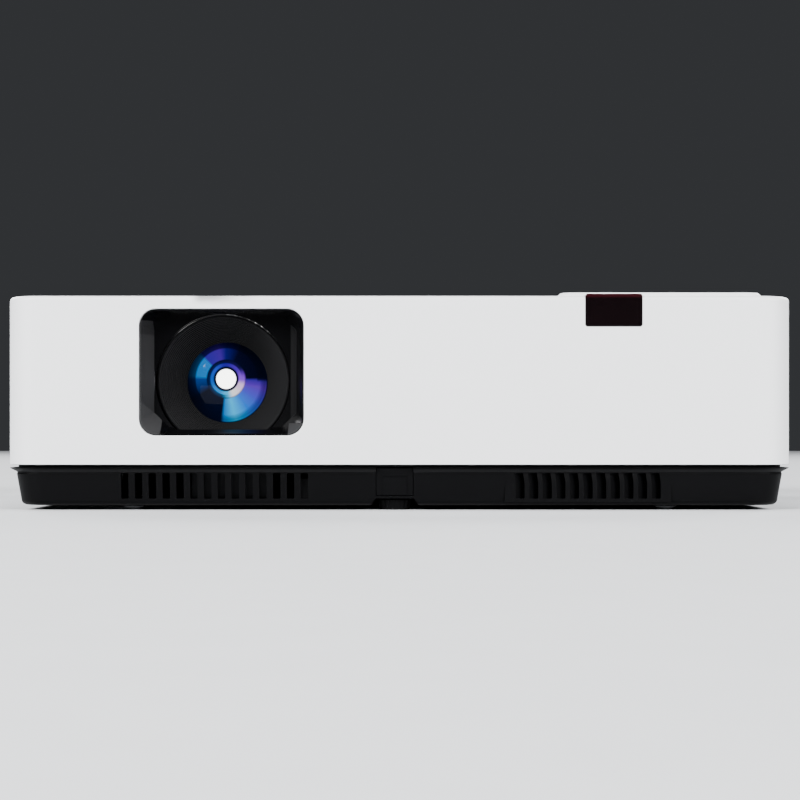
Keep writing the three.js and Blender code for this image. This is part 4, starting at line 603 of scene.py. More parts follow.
def lip_highlight_abs():
    # The case's ABS with a painted highlight: lighter along the fold of its lip, a thin line below
    # the seam where the lip catches the light.
    made = case_abs()
    tree = made.node_tree
    z = axes(tree, add(tree, "ShaderNodeTexCoord").outputs["Object"])[2]
    painted_highlight = product(
        tree, band(tree, z, CASE_TOP - 2.4, CASE_TOP - 1.7),
        band(tree, z, CASE_TOP - 0.4, CASE_TOP - 1.3),
    )
    return tinted(made, painted_highlight, linear("222223"))


def key_abs():
    # The keys' ABS is a shade greyer and smoother than the cover, so they read against it.
    return grained("moulded grey ABS", colour("key"), 0.34, 0.6, 0.008, drift=0.015, IOR=1.54)


def part_abs():
    # Plain black ABS for grips, fans and sockets, slightly shinier than the case.
    return grained("moulded black ABS", linear("1A1B1D"), 0.38, 0.8, 0.01, drift=0.1, IOR=1.54)


def nylon(name, code):
    # Coloured nylon of the computer sockets and the jacks' collars, with a low even sheen.
    return grained(name, linear(code), 0.4, 0.8, 0.01)


def funnel_abs():
    # Black ABS from a polished mould. The wall left of the lens, the two lower corner facets and the
    # ledge at the right were left satin, and are painted grey where they catch the light, so they
    # read as grey against the polished rest.
    made, tree, place = started("polished black ABS")
    x, y, z = axes(tree, place)
    left = BEZEL_LOW.x + FLANGE_SIDE + RIM + THROAT_LEFT
    right = BEZEL_HIGH.x - FLANGE_SIDE - RIM - THROAT_RIGHT
    low, facet, soft = BEZEL_LOW.z + FLANGE_RISE + RIM + THROAT_LOW, size("facet"), 0.4
    # The top of the left wall turns towards the lens and gets painted shade, a little darker
    painted_shade_top = worked(tree, "SUBTRACT", 1.0, product(tree, band(tree, z, 78, 78.5), 0.35))
    wall = product(
        tree, band(tree, x, left - 0.1, left - 0.1 - soft), band(tree, z, 84.8, 84), painted_shade_top,
    )
    corner = left + low + facet
    low_left = product(
        tree, band(tree, worked(tree, "ADD", x, z), corner, corner - soft),
        band(tree, x, left + 3.4, left + 2.8),
    )
    corner = right - low - facet
    low_right = product(
        tree, band(tree, worked(tree, "SUBTRACT", x, z), corner, corner + soft),
        band(tree, x, right - 3.4, right - 2.8), band(tree, z, 39, 38.5),
    )
    # A painted highlight on the two lower facets, brighter than the wall's grey
    facets = product(
        tree, worked(tree, "MAXIMUM", low_left, low_right), band(tree, z, 33, 33.8), 1.7,
    )
    # Painted light on the ledge at the right, fainter than on the wall
    ledge = product(
        tree, band(tree, y, FRONT + 10.6, FRONT + 10.8), band(tree, x, right - 2.6, right - 2.2),
        0.35,
    )
    satin_and_painted_light = worked(tree, "MAXIMUM", worked(tree, "MAXIMUM", wall, ledge), facets)
    tone = mixed(tree, satin_and_painted_light, colour("funnel"), colour("satin_and_painted_light"), clamp_factor=False)
    ripple = noise(tree, place, 9, 2.0)
    # The lower wall between the facets is duller, or the lens would be mirrored in it
    lower = product(
        tree, band(tree, z, low + 1.4, low + 0.9), band(tree, x, left + 5, left + 6),
        band(tree, x, right - 5, right - 6),
    )
    dull = worked(tree, "MAXIMUM", satin_and_painted_light, product(tree, lower, 0.6))
    gloss = spread(tree, worked(tree, "ADD", dull, product(tree, ripple, 0.1)), 0.16, 0.55)
    return closed(
        made, tone, gloss, Normal=bumped(tree, ripple, 0.01),
        Specular_IOR_Level=worked(tree, "MULTIPLY_ADD", lower, -0.088, 0.1),
    )


def cell_aluminium():
    # Black anodised aluminium, turned and bead blasted: low sheen with a faint sparkle.
    return grained(
        "black anodised aluminium", linear("08080A"), 0.5, 0.5, 0.01, drift=0.12,
        Specular_IOR_Level=0.18,
    )


def foam():
    # Open-cell polyurethane foam of 1.2 mm cells: dark, matt and full of holes.
    made, tree, place = started("open-cell foam")
    values = {"Vector": place, "Scale": per_mm(1.2)}
    cells = add(tree, "ShaderNodeTexVoronoi", values).outputs["Distance"]
    walls = mixed(tree, cells, linear("5A5D60"), linear("232527"))
    return closed(made, walls, 0.95, Normal=bumped(tree, cells, 0.6, invert=True))


def rubber(name, code):
    # Moulded rubber: no shine, and grey dust that clings in patches 6 mm wide.
    return grained(name, linear(code), 0.8, 0.7, 0.02, drift=0.18, patch=6)


def plated_steel():
    # Nickel-plated sheet steel: bright, with rolling streaks along the sheet.
    return metal("nickel-plated steel", "C2C4C6", 0.24, 0.4)


def cast_alloy():
    # Die-cast aluminium as it leaves the mould: grey, grainy and dull.
    return metal("die-cast aluminium", "9A9DA1", 0.5, 0.7, stretch=(1, 1, 1), relief=0.03)


def shield_steel():
    # Zinc-plated shield behind the front slots, blackened so that it hardly shows.
    return metal("blackened zinc plate", "202021", 0.45, 0.6, stretch=(1, 1, 1))


def gold_contact():
    # Gold flash on phosphor bronze, warm against the black insulator.
    return metal("gold-plated bronze", "D9B25A", 0.22, 0.3)


def mirror_coat():
    # Dichroic mirror on glass: a bright bowl, faintly blue.
    return metal("dichroic mirror", "C9D3E6", 0.12, 4, stretch=(1, 1, 1))


def clear_glass():
    # Coated glass of the inner lens elements, nearly black with a violet bloom.
    made, tree, place = started("coated inner glass")
    tone = mixed(tree, noise(tree, place, 18, 1.0), linear("0A0C22"), linear("281A52"))
    return closed(made, tone, 0.03, IOR=1.6, Coat_Weight=0.5, Coat_Roughness=0.02)


def lamp_plastic():
    # Glass-filled polyester of the lamp holder: chalky, cream, with flow marks of 12 mm.
    return grained("glass-filled polyester", linear("CBC5B6"), 0.6, 0.9, 0.02, drift=0.06, patch=12)


def board():
    # Fibreglass board under green solder mask, with copper tracks 1.3 mm wide showing through.
    made, tree, place = started("solder-masked fibreglass")
    tracks = add(tree, "ShaderNodeTexBrick", {
        "Vector": place, "Scale": per_mm(1.0), "Mortar Size": 0.28, "Mortar Smooth": 0.2,
        "Brick Width": 5.2, "Row Height": 1.3, "Color1": linear("14472C"),
        "Color2": linear("195535"), "Mortar": linear("2C7A4B"),
    })
    normal = bumped(tree, tracks.outputs["Fac"], 0.04)
    return closed(made, tracks.outputs["Color"], 0.32, Normal=normal)


def receiver_acrylic():
    # Infrared-pass acrylic: nearly black red in the body, and redder along its thin top rim, partly
    # the thin acrylic's own colour and partly painted light passing through it there.
    made, tree, place = started("infrared-pass acrylic")
    top = box_mm("ir_window")[1].z
    light_through_rim = band(tree, axes(tree, place)[2], top - 2.2, top - 0.3)
    window = colour("window")
    body = mixed(tree, noise(tree, place, 14, 2.0), scaled(window, 0.8), scaled(window, 1.25))
    return closed(made, mixed(tree, light_through_rim, body, linear("26060B")), 0.12, IOR=1.49)


def indicator_diffuser():
    # Milky polycarbonate over three lamps, each a soft patch 3 mm across.
    made, tree, place = started("milky polycarbonate")
    shift = (-middle("indicator_window").x * MM, 0, 0)
    about = add(tree, "ShaderNodeMapping", {"Vector": place, "Location": shift}).outputs["Vector"]
    values = {"Vector": about, "Scale": per_mm(12) / math.pi, "Distortion": 0.0}
    lamps = add(
        tree, "ShaderNodeTexWave", values, wave_type="BANDS", bands_direction="X",
        wave_profile="SIN",
    )
    tone = mixed(tree, lamps.outputs["Fac"], linear("8C938E"), linear("C6D2C8"))
    return closed(made, tone, 0.22, IOR=1.58, Coat_Weight=0.3, Coat_Roughness=0.08)


def ink(name, code):
    # Pad-printed ink: flat, with a slightly uneven film.
    return grained(name, linear(code), 0.5, 1.2, 0.004, drift=0.05, patch=3)


def backdrop_paper():
    # Matt paper of the floor: pale, with fibres that hardly show.
    made, tree, place = started("matt backdrop paper")
    tone = mixed(tree, noise(tree, place, 25, 4.0), linear("C4C6C9"), linear("C9CBCE"))
    return closed(made, tone, 0.85)


def ramp(tree, factor, stops, interpolation="LINEAR"):
    """Colours along a factor. Each stop is a position and a hex colour or a grey from 0 to 1."""
    node = add(tree, "ShaderNodeValToRGB", {"Fac": factor})
    node.color_ramp.interpolation = interpolation
    elements = node.color_ramp.elements
    while len(elements) < len(stops):
        elements.new(1.0)
    for element, (position, value) in zip(elements, stops):
        element.position = position
        element.color = linear(value) if isinstance(value, str) else (value, value, value, 1)
    return node.outputs["Color"]


def polar(tree, place, right, rise):
    """Radius in mm and turn, from 0 at the left through the bottom to 1, about a point."""
    centre = (-(LENS.x + right) * MM, 0, -(LENS.z + rise) * MM)
    moved = add(tree, "ShaderNodeMapping", {"Vector": place, "Location": centre}).outputs["Vector"]
    across, _, up = axes(tree, moved)
    squares = worked(tree, "ADD", product(tree, across, across), product(tree, up, up))
    angle = worked(tree, "DIVIDE", worked(tree, "ARCTAN2", up, across), 2 * math.pi)
    radius = worked(tree, "DIVIDE", worked(tree, "SQRT", squares), MM)
    return radius, worked(tree, "ADD", angle, 0.5)


# The painted reflection colours in the front glass by turn: round the pupil, blue at the left, cyan
# below, white at the lower right and violet above; then the outer sectors, one bright and one dim
RING = (
    (0, "0A56C4"), (0.17, "0A88D8"), (0.26, "18C4FF"), (0.33, "FFFFFF"), (0.43, "F2C8FF"),
    (0.5, "8A40E8"), (0.62, "4A18B4"), (0.76, "2C0C98"), (0.88, "2A48C4"), (1, "0A56C4"),
)
SECTORS = (
    (0, "043A84"), (0.05, "02265E"), (0.085, "01030A"), (0.228, "01020A"), (0.24, "0678C8"),
    (0.285, "10C0FF"), (0.35, "2474E4"), (0.41, "4444D0"), (0.46, "5C26B8"), (0.492, "3A1C9C"),
    (0.506, "01010A"), (0.68, "03031A"), (0.75, "140A68"), (0.79, "40189C"), (0.872, "341C9C"),
    (0.884, "107CCC"), (0.985, "1078C4"), (1, "043A84"),
)
PUPIL_REACH = 20.0


def painted_reflection_glass(reach):
    """The front glass: painted reflections in coloured sectors fade round the painted bright pupil
    of the elements behind it.
    """
    # Crown glass with blue and violet coats. Its colours are painted reflections of the coats, as if
    # lit from inside the barrel: they are drawn over the glass and given a painted glow of their
    # own, brightest in the white pupil.
    made, tree, place = started("coated crown glass")
    radius, turn = polar(tree, place, 0, 0)
    pupil_radius, pupil_turn = polar(tree, place, -0.45, 1.65)
    share = worked(tree, "DIVIDE", pupil_radius, PUPIL_REACH)
    ring, sectors = ramp(tree, pupil_turn, RING, "EASE"), ramp(tree, pupil_turn, SECTORS)
    lit = ramp(tree, worked(tree, "DIVIDE", radius, reach), (
        (0, 1), (0.8, 1), (0.86, 0.62), (0.93, 0.4), (0.965, 0.5), (0.985, 0.12), (1, 0),
    ))
    dim = ramp(tree, share, ((0, 1), (0.69, 1), (0.73, 0.16), (0.83, 0.07), (0.92, 0)), "EASE")
    upper = band(tree, turn, 0.5, 0.52, 1)
    left = worked(tree, "SUBTRACT", 1.0, band(tree, turn, 0.09, 0.2, 1))
    fade = mixed(tree, worked(tree, "MAXIMUM", upper, left), lit, dim)
    outer = mixed(tree, 1.0, sectors, fade, blend_type="MULTIPLY")
    # From the pupil outwards: disc of painted white glow, dark line, coloured ring, dark line,
    # sectors
    disc = ramp(tree, share, ((0, 1), (0.22, 1), (0.236, 0)))
    wide = ramp(tree, share, ((0, 0), (0.275, 0), (0.3, 1), (0.41, 1), (0.45, 0.2)))
    narrow = ramp(
        tree, share, ((0, 0), (0.275, 0), (0.3, 1), (0.35, 1), (0.375, 0.12), (0.45, 0)),
    )
    widening = ramp(tree, pupil_turn, ((0, 0), (0.2, 0), (0.3, 1), (0.5, 1), (0.62, 0)), "EASE")
    navy = linear("04081C")
    centre = mixed(tree, mixed(tree, widening, narrow, wide), navy, ring)
    centre = mixed(tree, disc, centre, (1, 1, 1, 1))
    outside = ramp(tree, share, ((0, 0), (0.435, 0), (0.465, 1)))
    whole = mixed(tree, outside, centre, outer)
    dust = noise(tree, place, 5, 3.0)
    return closed(
        made, mixed(tree, 0.85, whole, navy), spread(tree, dust, 0.02, 0.05), IOR=1.52,
        Specular_IOR_Level=0.07, Emission_Color=whole,
        Emission_Strength=worked(tree, "MULTIPLY_ADD", disc, 5.0, 0.95),
    )


# Shells

# Width, height and corner radius of the openings in the cover's walls
TERMINAL_BAY, INLET_BAY, FILTER_BAY = (150, 38, 3), (28, 21, 2), (78, 56, 2)
GRILLE_BAY, SPEAKER_SLOT, LOCK_SLOT = (52, 50, 3), (34, 2.2, 1), (7, 3, 0.8)
THROUGH = 8
LOCK_BACK, LOCK_RISE = 14, 40

# The finger opening over the rings, the seats in the top and the scoop over the lens
ACCESS, ACCESS_BACK = (62, 45), 50.5
PANEL_SEAT, PANEL_HOLE, LAMP_BAY = (92.6, 56.6), (84, 48), (64, 60)
RECEIVER_SEAT, RECEIVER_RISE = (25.6, 20.6), 91.8
SCOOP_REACH, SCOOP_AT = (15.2, 3.2, 5.2), (LENS.x, FRONT - 1.7, TOP + 1.1)
ROOF, LID_SEAT, SKIRT_DROP = 3, 1.8, 15
FILTER_COLLAR, SCREW_BORE, BOSS_RADIUS = (82, 60), 1.8, 4.5

# The slots in the case's front: the middle of the first one, and how far apart they stand
SLOT_FIRST, SLOT_PITCH, SLOT_WIDTH = -122.35, 6.155, 3.3
LOUVRE_FIRST, LOUVRE_PITCH, LOUVRE_WIDTH, LOUVRE_SLANT = 51.75, 6.06, 4.0, 1.1
SLOT_LOW, SLOT_HEIGHT, SLOT_BACK = 5.1, 11.4, 1.4
LOUVRE_BLOCK, SHIELD, FOOT_TOWER, POST = (47, 121), (-93.2, -59.2), 11.5, 3
BOSSES = [(x, y) for x in (-90, 90) for y in (-60, 78)]
FLOOR_SLOTS = [(-128 + 7 * place, -84, CASE_BOTTOM) for place in range(-4, 5)]
HANDS = ("left", "right")


def mouth_sizes():
    """Width, height and corner radius of the lens opening."""
    return [size("opening_" + part) for part in ("width", "height", "corner")]


def body_stack(levels):
    """The outline of both shells, carried through levels."""
    return raised(WIDTH, DEPTH, levels, size("corner"), 14)


def cover_openings():
    """Cutters for every opening that passes through the cover's walls."""
    edge = size("rolled")
    lens, terminals, inlet = middle("lens_bezel"), middle("terminal_panel"), middle("mains_inlet")
    door, grille, sound = middle("air_filter"), middle("exhaust_grille"), middle("speaker")
    cuts = [
        opening(*mouth_sizes(), THROUGH, "back", (lens.x, FRONT, lens.z), edge),
        opening(*TERMINAL_BAY, THROUGH, "back", (terminals.x, REAR, terminals.z), edge, back=True),
        opening(*INLET_BAY, THROUGH, "back", (inlet.x, REAR, inlet.z), edge, back=True),
        opening(*FILTER_BAY, 12, "right", (-SIDE, door.y, door.z), edge),
        opening(*GRILLE_BAY, THROUGH, "right", (SIDE, grille.y, grille.z), edge, back=True),
    ]
    places = [(sound.y, sound.z + 5 * row, SPEAKER_SLOT) for row in range(-3, 4)]
    for y, z, sizes in places + [(REAR - LOCK_BACK, LOCK_RISE, LOCK_SLOT)]:
        cuts.append(opening(*sizes, THROUGH, "right", (-SIDE, y, z), edge / 2))
    return cuts


def cover_seats():
    """Cutters for what is let into the cover's top and front edge."""
    under, above = TOP - ROOF - 2, TOP + PAST
    through = [(under, 0), (above, 0)]
    flared = [
        (under, 0), (TOP - 2.7, 0), (TOP - 0.5, -2.5), (TOP - 0.12, -2.85), (TOP, -3.2),
        (above, -3.2),
    ]
    seat = [(TOP - 1.2, 0), (TOP - 0.2, 0), (TOP, -0.2), (above, -0.2)]
    panel, window = plan(middle("control_panel")), (middle("ir_window").x, FRONT, RECEIVER_RISE)
    dish = bmesh.new()
    bmesh.ops.create_uvsphere(dish, u_segments=96, v_segments=48, radius=1)
    bmesh.ops.scale(dish, vec=SCOOP_REACH, verts=dish.verts)
    low, high = box_mm("lamp_cover")
    near, far, screw = low.y - FIT, high.y + FIT, middle("lamp_cover_screw")
    return [
        raised(*ACCESS, flared, 6, 10, at=(LENS.x, FRONT + ACCESS_BACK, 0)),
        raised(*PANEL_SEAT, seat, 6.3, at=panel),
        raised(*PANEL_HOLE, through, 4, at=panel),
        raised(*RECEIVER_SEAT, [(-PAST, 0), (12, 0)], 1.2, 6, "back", window),
        moved(dish, SCOOP_AT),
        block((low.x - FIT, near, TOP - LID_SEAT), (SIDE + PAST, far, above)),
        block((SIDE - LID_SEAT, near, TOP - SKIRT_DROP), (SIDE + PAST, far, above)),
        raised(*LAMP_BAY, through, 4, at=plan(middle("lamp_housing"))),
        rod(SCREW_BORE, SIDE - 14, SIDE + PAST, "right", (0, screw.y, screw.z)),
    ]


def cover_ribs():
    """The filter's collar, the lamp screw's boss and the two long screw bosses, all inside."""
    inner = SIDE - size("wall")
    door, screw = middle("air_filter"), middle("lamp_cover_screw")
    return [
        raised(
            *FILTER_COLLAR, [(-inner - 1, 0), (6 - inner, 0)], 2, 4, "right", (0, door.y, door.z),
        ),
        rod(4, inner - 9, inner + 1, "right", (0, screw.y, screw.z)),
    ] + [rod(BOSS_RADIUS, 8, TOP - 1.5, at=plan(middle("case_screw_" + hand))) for hand in HANDS]


def cover_moulding():
    wall = size("wall")
    levels = [(SEAM, 0.2), (SEAM + 0.2, 0)] + roll(TOP, size("top_edge"), True, 6)
    shell = cut(body_stack(levels), body_stack([(SEAM - PAST, wall), (TOP - wall, wall)]))
    bores = [rod(SCREW_BORE, 4, 22, at=plan(middle("case_screw_" + hand))) for hand in HANDS]
    return cut(joined(shell, *cover_ribs()), *cover_openings(), *cover_seats(), *bores)


def front_slots():
    """Cutters for the upright slots at the left and the slanted louvres at the right."""
    y, z = FRONT + SLOT_BACK, SLOT_LOW + SLOT_HEIGHT / 2
    cuts = []
    for place in range(14):
        # The last slot at the left is blind
        deep, at = 16 if place < 13 else 4.3, (SLOT_FIRST + SLOT_PITCH * place, y, z)
        cuts.append(opening(SLOT_WIDTH, SLOT_HEIGHT, 0.4, deep, "back", at, 0.25, 3))
    for place in range(11):
        louvre = opening(LOUVRE_WIDTH, SLOT_HEIGHT, 0.4, 11, "back", (0, 0, 0), 0.25, 3)
        at = (LOUVRE_FIRST + LOUVRE_PITCH * place, y, z)
        cuts.append(slanted(louvre, 0, 1, LOUVRE_SLANT, at))
    return cuts


def case_openings():
    """Cutters for the foot's notch and key, the feet, the bosses and the floor's air slots."""
    x, below, foot = FOOT.x, CASE_BOTTOM - PAST, plan(FOOT)
    notch = [(5.2, 0), (CASE_BOTTOM, -2.05), (below, -2.05)]
    well = [(7, 0), (CASE_BOTTOM + 0.3, 0), (CASE_BOTTOM, -0.3), (below, -0.3)]
    # Notch for the front foot, room for the release and its fork, the foot's well and bore
    cuts = [
        raised(17.2, 18, notch, 0, at=(x, FRONT + 5, 0)),
        block((x - 8.4, FRONT - PAST, 6.4), (x + 8.4, FRONT + 9.8, 19.3)),
        block((x - 7.3, FRONT + 7, 7.7), (x + 7.3, FRONT + 24.1, 13.3)),
        rod(8.8, below, 5.2, at=foot, steps=64),
        rod(4.3, CASE_BOTTOM, 34, at=foot, steps=48),
    ]
    for hand in HANDS:
        knob, screw = plan(middle("rear_foot_" + hand)), plan(middle("case_screw_" + hand))
        cuts += [
            raised(21.6, 21.6, well, 10.79, 16, at=knob),
            rod(3.3, CASE_BOTTOM, 20, at=knob),
            rod(3.5, below, 4.8, at=screw, steps=48),
            rod(SCREW_BORE, below, 12, at=screw),
        ]
    cuts += [rod(1.65, below, 11.1, at=(x, y, 0)) for x, y in BOSSES]
    return cuts + [opening(3, 46, 1.4, 5, "up", at, 0.3, 5) for at in FLOOR_SLOTS]


def case_towers():
    """The posts, bosses and towers that stand on the case's floor."""
    base, towers = FLOOR_TOP - 1, []

    def posts(node, places):
        top = box_mm(node)[0].z - FIT
        for x, y in places:
            towers.append(block((x - POST, y - POST, base), (x + POST, y + POST, top)))

    for node, inset_x in (("main_board", 4), ("power_board", 6), ("lamp_housing", 6)):
        low, high = box_mm(node)
        sides = (low.x + inset_x, high.x - inset_x)
        posts(node, [(x, y) for x in sides for y in (low.y + 6, high.y - 6)])
    low, high = box_mm("optics_housing")
    near, far, bend = low.x + 6, high.x - 6, middle("lamp_housing").y - 21
    places = ((near, low.y + 6), (near, bend), (near, high.y - 6), (far, bend), (far, high.y - 6))
    posts("optics_housing", places)
    for hand in HANDS:
        knob, screw = plan(middle("rear_foot_" + hand)), plan(middle("case_screw_" + hand))
        towers += [rod(13.6, base, 16, at=knob, steps=64), rod(BOSS_RADIUS, base, 7.7, at=screw)]
    towers += [rod(6, 1.5, 12, at=(x, y, 0), steps=48, edge=0.4) for x, y in BOSSES]
    # The front foot's tower, and the block that the louvres are cut through
    left, right = FOOT.x - FOOT_TOWER, FOOT.x + FOOT_TOWER
    towers.append(block((left, FRONT + 4.6, base), (right, FRONT + 33, 30)))
    left, right = LOUVRE_BLOCK
    towers.append(block((left, FRONT + 3.2, base), (right, FRONT + 10.4, 18)))
    return towers


def case_moulding():
    """The case: its rolled bottom, the lip with a small bead below it, and the tongue inside."""
    shoulder = CASE_TOP - LIP - LIP_SLOPE
    levels = [
        (height, inset + LIP_INSET + DRAFT)
        for height, inset in roll(CASE_BOTTOM, size("bottom_edge"), False, 6)
    ] + [
        (shoulder - 0.95, LIP_INSET + 0.02), (shoulder - 0.2, LIP_INSET + 0.25),
        (shoulder + 0.05, LIP_INSET + 0.15), (shoulder + 0.25, LIP_INSET - 0.2),
        (CASE_TOP - LIP, 0.12), (CASE_TOP - LIP + 0.15, 0), (CASE_TOP - 0.15, 0), (CASE_TOP, 0.15),
    ]
    outer = size("wall") + FIT
    inner = outer + TONGUE_WALL
    tongue = [(shoulder, outer), (TONGUE_TOP - 0.3, outer), (TONGUE_TOP, outer + 0.3)]
    pocket = [
        (FLOOR_TOP, LIP_INSET + DRAFT + size("case_wall")), (CASE_TOP, inner),
        (TONGUE_TOP + PAST, inner),
    ]
    shell = cut(joined(body_stack(levels), body_stack(tongue)), body_stack(pocket))
    return cut(joined(shell, *case_towers()), *front_slots(), *case_openings())


# Lens opening

# The surround's rim, and how far its throat lies inside the mouth at each side
RIM, THROAT_LEFT, THROAT_RIGHT, THROAT_LOW, THROAT_TOP = 0.6, 5, 3.1, 1.8, 0.7
FLANGE_SIDE, FLANGE_RISE = 3.3, 1
THROAT_PLATE = 2.0
ARC = 10


def surround_moulding():
    """The funnel: a rounded mouth bridged to a throat with straight corner facets."""
    wide, high, corner = mouth_sizes()
    wide, high, corner = wide - 2 * FIT, high - 2 * FIT, corner - FIT
    deep, facet, at = size("funnel_depth"), size("facet"), middle("lens_bezel")
    end = deep + THROAT_PLATE
    outer = raised(wide, high, [(0, 0.25), (0.25, 0), (end, 0)], corner, ARC, "back")
    flange_size = (wide + 2 * FLANGE_SIDE, high + 2 * FLANGE_RISE)
    flange = raised(*flange_size, [(3.3, 0), (4.9, 0)], corner + 1, ARC, "back")
    mouth = (wide - 2 * RIM, high - 2 * RIM)
    throat_wide = mouth[0] - THROAT_LEFT - THROAT_RIGHT
    throat_high = mouth[1] - THROAT_TOP - THROAT_LOW
    across, rise = (THROAT_LEFT - THROAT_RIGHT) / 2, (THROAT_LOW - THROAT_TOP) / 2
    throat = plate(throat_wide, throat_high, facet, 1)
    facets = [e for e in throat.edges if abs(e.calc_length() - facet * math.sqrt(2)) < 0.01]
    bmesh.ops.subdivide_edges(throat, edges=facets, cuts=ARC - 1)
    funnel = together([plate(*mouth, corner - RIM, ARC), moved(throat, (across, rise, deep))])
    bmesh.ops.bridge_loops(funnel, edges=list(funnel.edges))
    ahead = raised(*mouth, [(-PAST, 0), (0.0, 0)], corner - RIM, ARC)
    # The hole for the cell stops short of the wall at the right
    behind = [(deep - 2, 0), (end + 2, 0)]
    lens = (LENS.x - at.x, 0, LENS.z - at.z)
    hole = shared(
        rod(CELL_RADIUS + 0.3, deep - 2, end + 2, "back", lens, 96),
        raised(throat_wide - 2.3, throat_high, behind, 0, 1, "back", (across - 1.15, 0, rise)),
    )
    hollow = joined(placed(funnel, "back"), placed(ahead, "back"))
    return moved(cut(joined(outer, flange), hollow, hole), (at.x, FRONT, at.z))


def receiver_shape():
    """The infrared window: a thin shell over the cover's top front edge, and its inner ledge."""
    low, high, at = span("ir_window")
    thick = 2.0
    wide, bottom = high.x - low.x - 2 * thick + 0.5, low.z + thick - 0.2
    levels = roll(0, 0.35, False, 3) + [(high.y - low.y, 0)]
    centre = (at.x, low.y, (high.z + bottom) / 2)
    face = raised(wide, high.z - bottom, levels, 1, 6, "back", centre)
    start = low.y + size("wall") + FIT
    ledge = block((low.x, start, low.z), (high.x, start + thick, TOP - ROOF - FIT))
    room = block(
        (low.x + 2 * thick, low.y + thick, low.z - 1),
        (high.x - 2 * thick, high.y + 1, TOP - thick),
    )
    return cut(joined(face, ledge), room)


# Lens

def cell_profile():
    """The front cell in section, its cone cut into fine ridges that swallow stray light."""
    start = CELL_LOW.y - FRONT
    seat, end = start + 22.5, start + 17.4
    glass, mouth = 18.5, CELL_RADIUS - 1.6
    count = round((mouth - glass) / size("ridge"))
    run, drop = (mouth - glass) / count, 22.0 / count
    profile = [(glass + 0.5, seat), (glass, seat - 0.2), (glass, seat - 0.5)]
    for step in range(1, count + 1):
        radius, along = glass + run * step, seat - 0.5 - drop * (step - 1)
        profile += [(radius - 0.12, along), (radius, along - 0.12), (radius, along - drop)]
    return profile + [
        (mouth + 0.15, start + 0.05), (mouth + 0.35, start), (CELL_RADIUS - 0.8, start),
        (CELL_RADIUS - 0.2, start + 0.25), (CELL_RADIUS, start + 0.9), (CELL_RADIUS, end),
        (22, end), (22, end + 15), (20.7, end + 15), (20.7, seat + 0.3),
    ]


def glass_shape(node, seat, radius, edge, front_crown, back_crown, steps):
    """A lens spun from its section, from its front vertex round its rim to its back vertex."""
    start = box_mm(node)[0].y - FRONT + seat
    shares = [place / 16 for place in range(16)]
    ahead = [(radius * share, start - front_crown * (1 - share ** 2)) for share in shares]
    behind = [(radius * share, start + edge + back_crown * (1 - share ** 2)) for share in shares]
    profile = ahead + [(radius, start), (radius, start + edge)] + behind[::-1]
    return turned(profile, "back", LENS_AXIS, steps, ring=False)


def grip_ring(node, lever=False):
    """A ribbed ring for a finger, with the zoom ring's lever on top."""
    low, high = box_mm(node)
    radius, bore = 31.0, 25.9
    start, end = low.y - FRONT, high.y - FRONT
    levels = [(start, 0.8), (start + 0.8, 0.1), (end - 0.8, 0.1), (end, 0.8)]
    ring = fluted(radius, 0.6, 60, levels, "back", LENS_AXIS, 6)
    if lever:
        rise = [(LENS.z + radius - 1.4, 0), (high.z - 0.6, 0), (high.z - 0.2, 0.2), (high.z, 0.6)]
        tab = raised(5, 7, rise, 1.2, 5, at=(LENS.x, FRONT + (start + end) / 2, 0))
        ring = joined(ring, tab)
    return cut(ring, rod(bore, start - PAST, end + PAST, "back", LENS_AXIS, 96))


def barrel_shape():
    """The barrel: its bore, the collar between the rings and the flange that it is held by."""
    low, high = box_mm("lens_barrel")
    start, end = low.y - FRONT, high.y - FRONT
    flange, collar = end - 24, box_mm("focus_ring")[1].y - FRONT + 0.4
    profile = [
        (24.6, start), (25.4, start), (25.6, start + 0.2), (25.6, collar), (27.8, collar),
        (28, collar + 0.2), (28, collar + 1.8), (27.8, collar + 2), (25.6, collar + 2),
        (25.6, flange + 4), (20, flange + 4), (20, end - 0.3), (19.7, end), (17, end),
        (17, flange + 3), (24.6, flange + 3),
    ]
    tube = turned(profile, "back", LENS_AXIS, 96)
    levels = [(flange, 0.3), (flange + 0.3, 0), (flange + 4, 0)]
    ears = raised(74, 68, levels, 7.5, 8, "back", LENS_AXIS)
    bore = rod(25.1, flange - PAST, flange + 4 + PAST, "back", LENS_AXIS, 96)
    return joined(tube, cut(ears, bore))


# Controls on the top

KEYS = ("power", "source", "exit", "menu", "enter", "up", "down", "left", "right")
KEY_LEDGE = 0.8
ARROW_CORNER = 1.6


def key_sizes(node):
    """Middle, width and depth of what shows of a key, and its corner radius."""
    low, high, at = span(node)
    wide, deep = high.x - low.x - 2 * KEY_LEDGE, high.y - low.y - 2 * KEY_LEDGE
    corner = wide / 2 - 0.01 if abs(wide - deep) < 0.1 else min(ARROW_CORNER, wide / 3, deep / 3)
    return at, wide, deep, corner


def key_shape(node, drop=0.0):
    """A cap with a rolled top edge, and the ledge that holds it under the panel."""
    at, wide, deep, corner = key_sizes(node)
    low, high = box_mm(node)
    levels = [(low.z, 0)] + roll(high.z - drop, size("edge"), True, 5)
    cap = raised(wide, deep, levels, corner, 12, at=plan(at))
    ledge = raised(
        wide + 2 * KEY_LEDGE, deep + 2 * KEY_LEDGE, [(low.z, 0), (low.z + KEY_LEDGE, 0)],
        corner + KEY_LEDGE, 12, at=plan(at),
    )
    return joined(cap, ledge)


